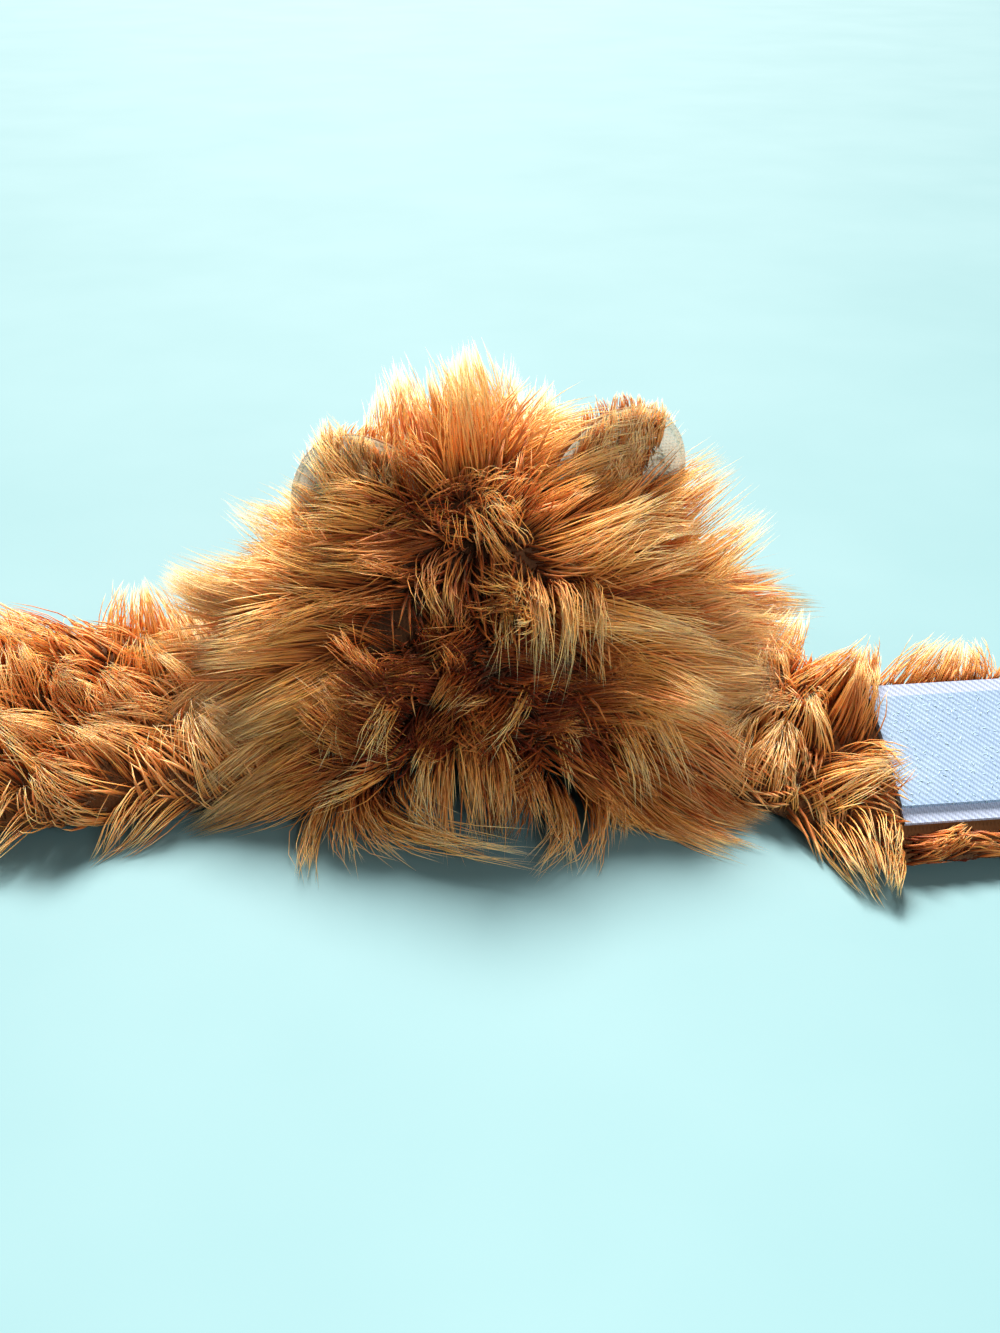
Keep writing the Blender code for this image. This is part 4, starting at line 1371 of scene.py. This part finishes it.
def under_hood(points):
    """Which of these points are inside the hood's outer surface."""
    apart = points - HOOD_CENTRE
    across = np.hypot(apart[..., 0] / HOOD_HALF_WIDTH, apart[..., 1] / HOOD_HALF_DEPTH)
    up = np.maximum(apart[..., 2], 0) / HOOD_HEIGHT
    return across**HOOD_ROUNDNESS + up**HOOD_ROUNDNESS < 1


def share_across(shape):
    """The grid's own place across the ear, from -1 on the left to 1 on the right."""
    return np.tile(np.linspace(-1, 1, shape[1]), shape[0])


def brown_from(cover, first):
    """The cover's faces from this one on, its back and its edge, are brown backing."""
    cover.data.materials.append(ear_backing)
    kinds = (np.arange(len(cover.data.polygons)) >= first).astype(np.int32)
    cover.data.polygons.foreach_set("material_index", kinds)


def build_ear(side):
    name = "ear_" + side
    front, middle, _ = ear_layer(side, PLUSH_OUTLINE, -2.3 * MM, -0.2 * MM)
    lining = shell_from(name + "_plush", front, middle, plush)
    stand_in(lining, name + "_lining", "ear_plush")
    near, back, out = ear_layer(side, 1.0, 0.2 * MM, 5.4 * MM)
    cover = shell_from(name + "_cover", near, back, plush)
    faces = grid_faces(*out.shape)
    brown_from(cover, len(faces))
    stand_in(cover, name, "fur_ears")
    chance = np.random.default_rng(41 if side == "left" else 42)
    ahead, behind = np.array((0.0, -1.0, 0.0)), np.array((0.0, 1.0, 0.0))
    for label, grid, towards, count, length, rise, width, material, node, slot in (
        ("_fuzz", front, ahead, 600, 2.2 * MM, 1.2, 0.35 * MM, plush_pile, "_lining", "ear_plush"),
        ("_overlap", front, ahead, 1000, 14 * MM, 0.5, HAIR_WIDTH, fur, "_lining", "ear_plush"),
        ("_fur", back, behind, 750, 6 * MM, 0.5, HAIR_WIDTH, fur, "", "fur_ears"),
    ):
        points, normals = grid.reshape(-1, 3), surface_normals(grid, towards).reshape(-1, 3)
        middles = points[faces].mean(1)
        furred = out.reshape(-1)[faces].max(1) < (EAR_FUR_EDGE if grid is front else EAR_BACK_EDGE)
        if label == "_overlap":
            furred &= share_across(out.shape)[faces].mean(1) * -math.copysign(1, EARS[side][0]) > OVERLAP_EDGE
            furred &= middles[:, 2] < EARS[side][2] + OVERLAP_HEIGHT * EAR_HEIGHT
        weights = np.where(under_hood(middles) | ~furred, 0.0, 1.0)
        coat = Coat(
            lambda roots, out: unit(out * rise + UP + drift(roots, 9 * MM, 12) * 0.2),
            lambda roots: np.full(len(roots), length),
            lambda roots: np.full(len(roots), length * 0.1),
            tuft_apart=7 * MM,
            lock_apart=2.2 * MM,
            frizz=length * 0.02,
            tuft_pull=0.2,
            area=area_of(points, faces[weights > 0]),
        )
        surface, counts = (points, normals, faces), (count, EAR_SITES)
        roots, paths, locks, tufts = grow(coat, surface, weights, counts, chance, UNDER_SHARES, 0.3)
        tones = tone_of(roots, locks, tufts, chance, 0.7)
        pile = strands(name + label, paths, width, tones, material, chance, start=ROOT_LIFT)
        stand_in(pile, name + node, slot)


# Floor


def build_floor():
    far = 6.0
    mesh = bpy.data.meshes.new("floor")
    mesh.from_pydata([(-far, -far, 0), (far, -far, 0), (far, far, 0), (-far, far, 0)], [], [(0, 1, 2, 3)])
    mesh.materials.append(floor_material())
    add_object("floor", mesh)


PLUSH_DARK = ((0.0, (0.4, 0.42, 0.33)), (1.0, (0.72, 0.75, 0.64)))
PLUSH_PALE = ((0.0, (0.62, 0.65, 0.54)), (1.0, (0.95, 0.97, 0.88)))

make_camera()
make_lights()
make_world()
build_floor()
fur = strand_material("fur_strands")
plush_pile = strand_material("plush_strands", PLUSH_DARK, PLUSH_PALE, 0.3)
plush = cloth_material("ear_plush_cloth", (0.74, 0.78, 0.66), (0.9, 0.93, 0.82))
ear_backing = cloth_material("ear_backing", (0.2, 0.075, 0.02), (0.32, 0.13, 0.04))
build_hood()
for side in STRAP_ROWS:
    build_strap(side)
for side in EARS:
    build_ear(side)
for node in ("loop_tape", "hook_tape"):
    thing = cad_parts[node]
    thing.data.materials.clear()
    thing.data.materials.append(tape_material(node + "_weave", node == "loop_tape"))

build_loops()
build_stitches()
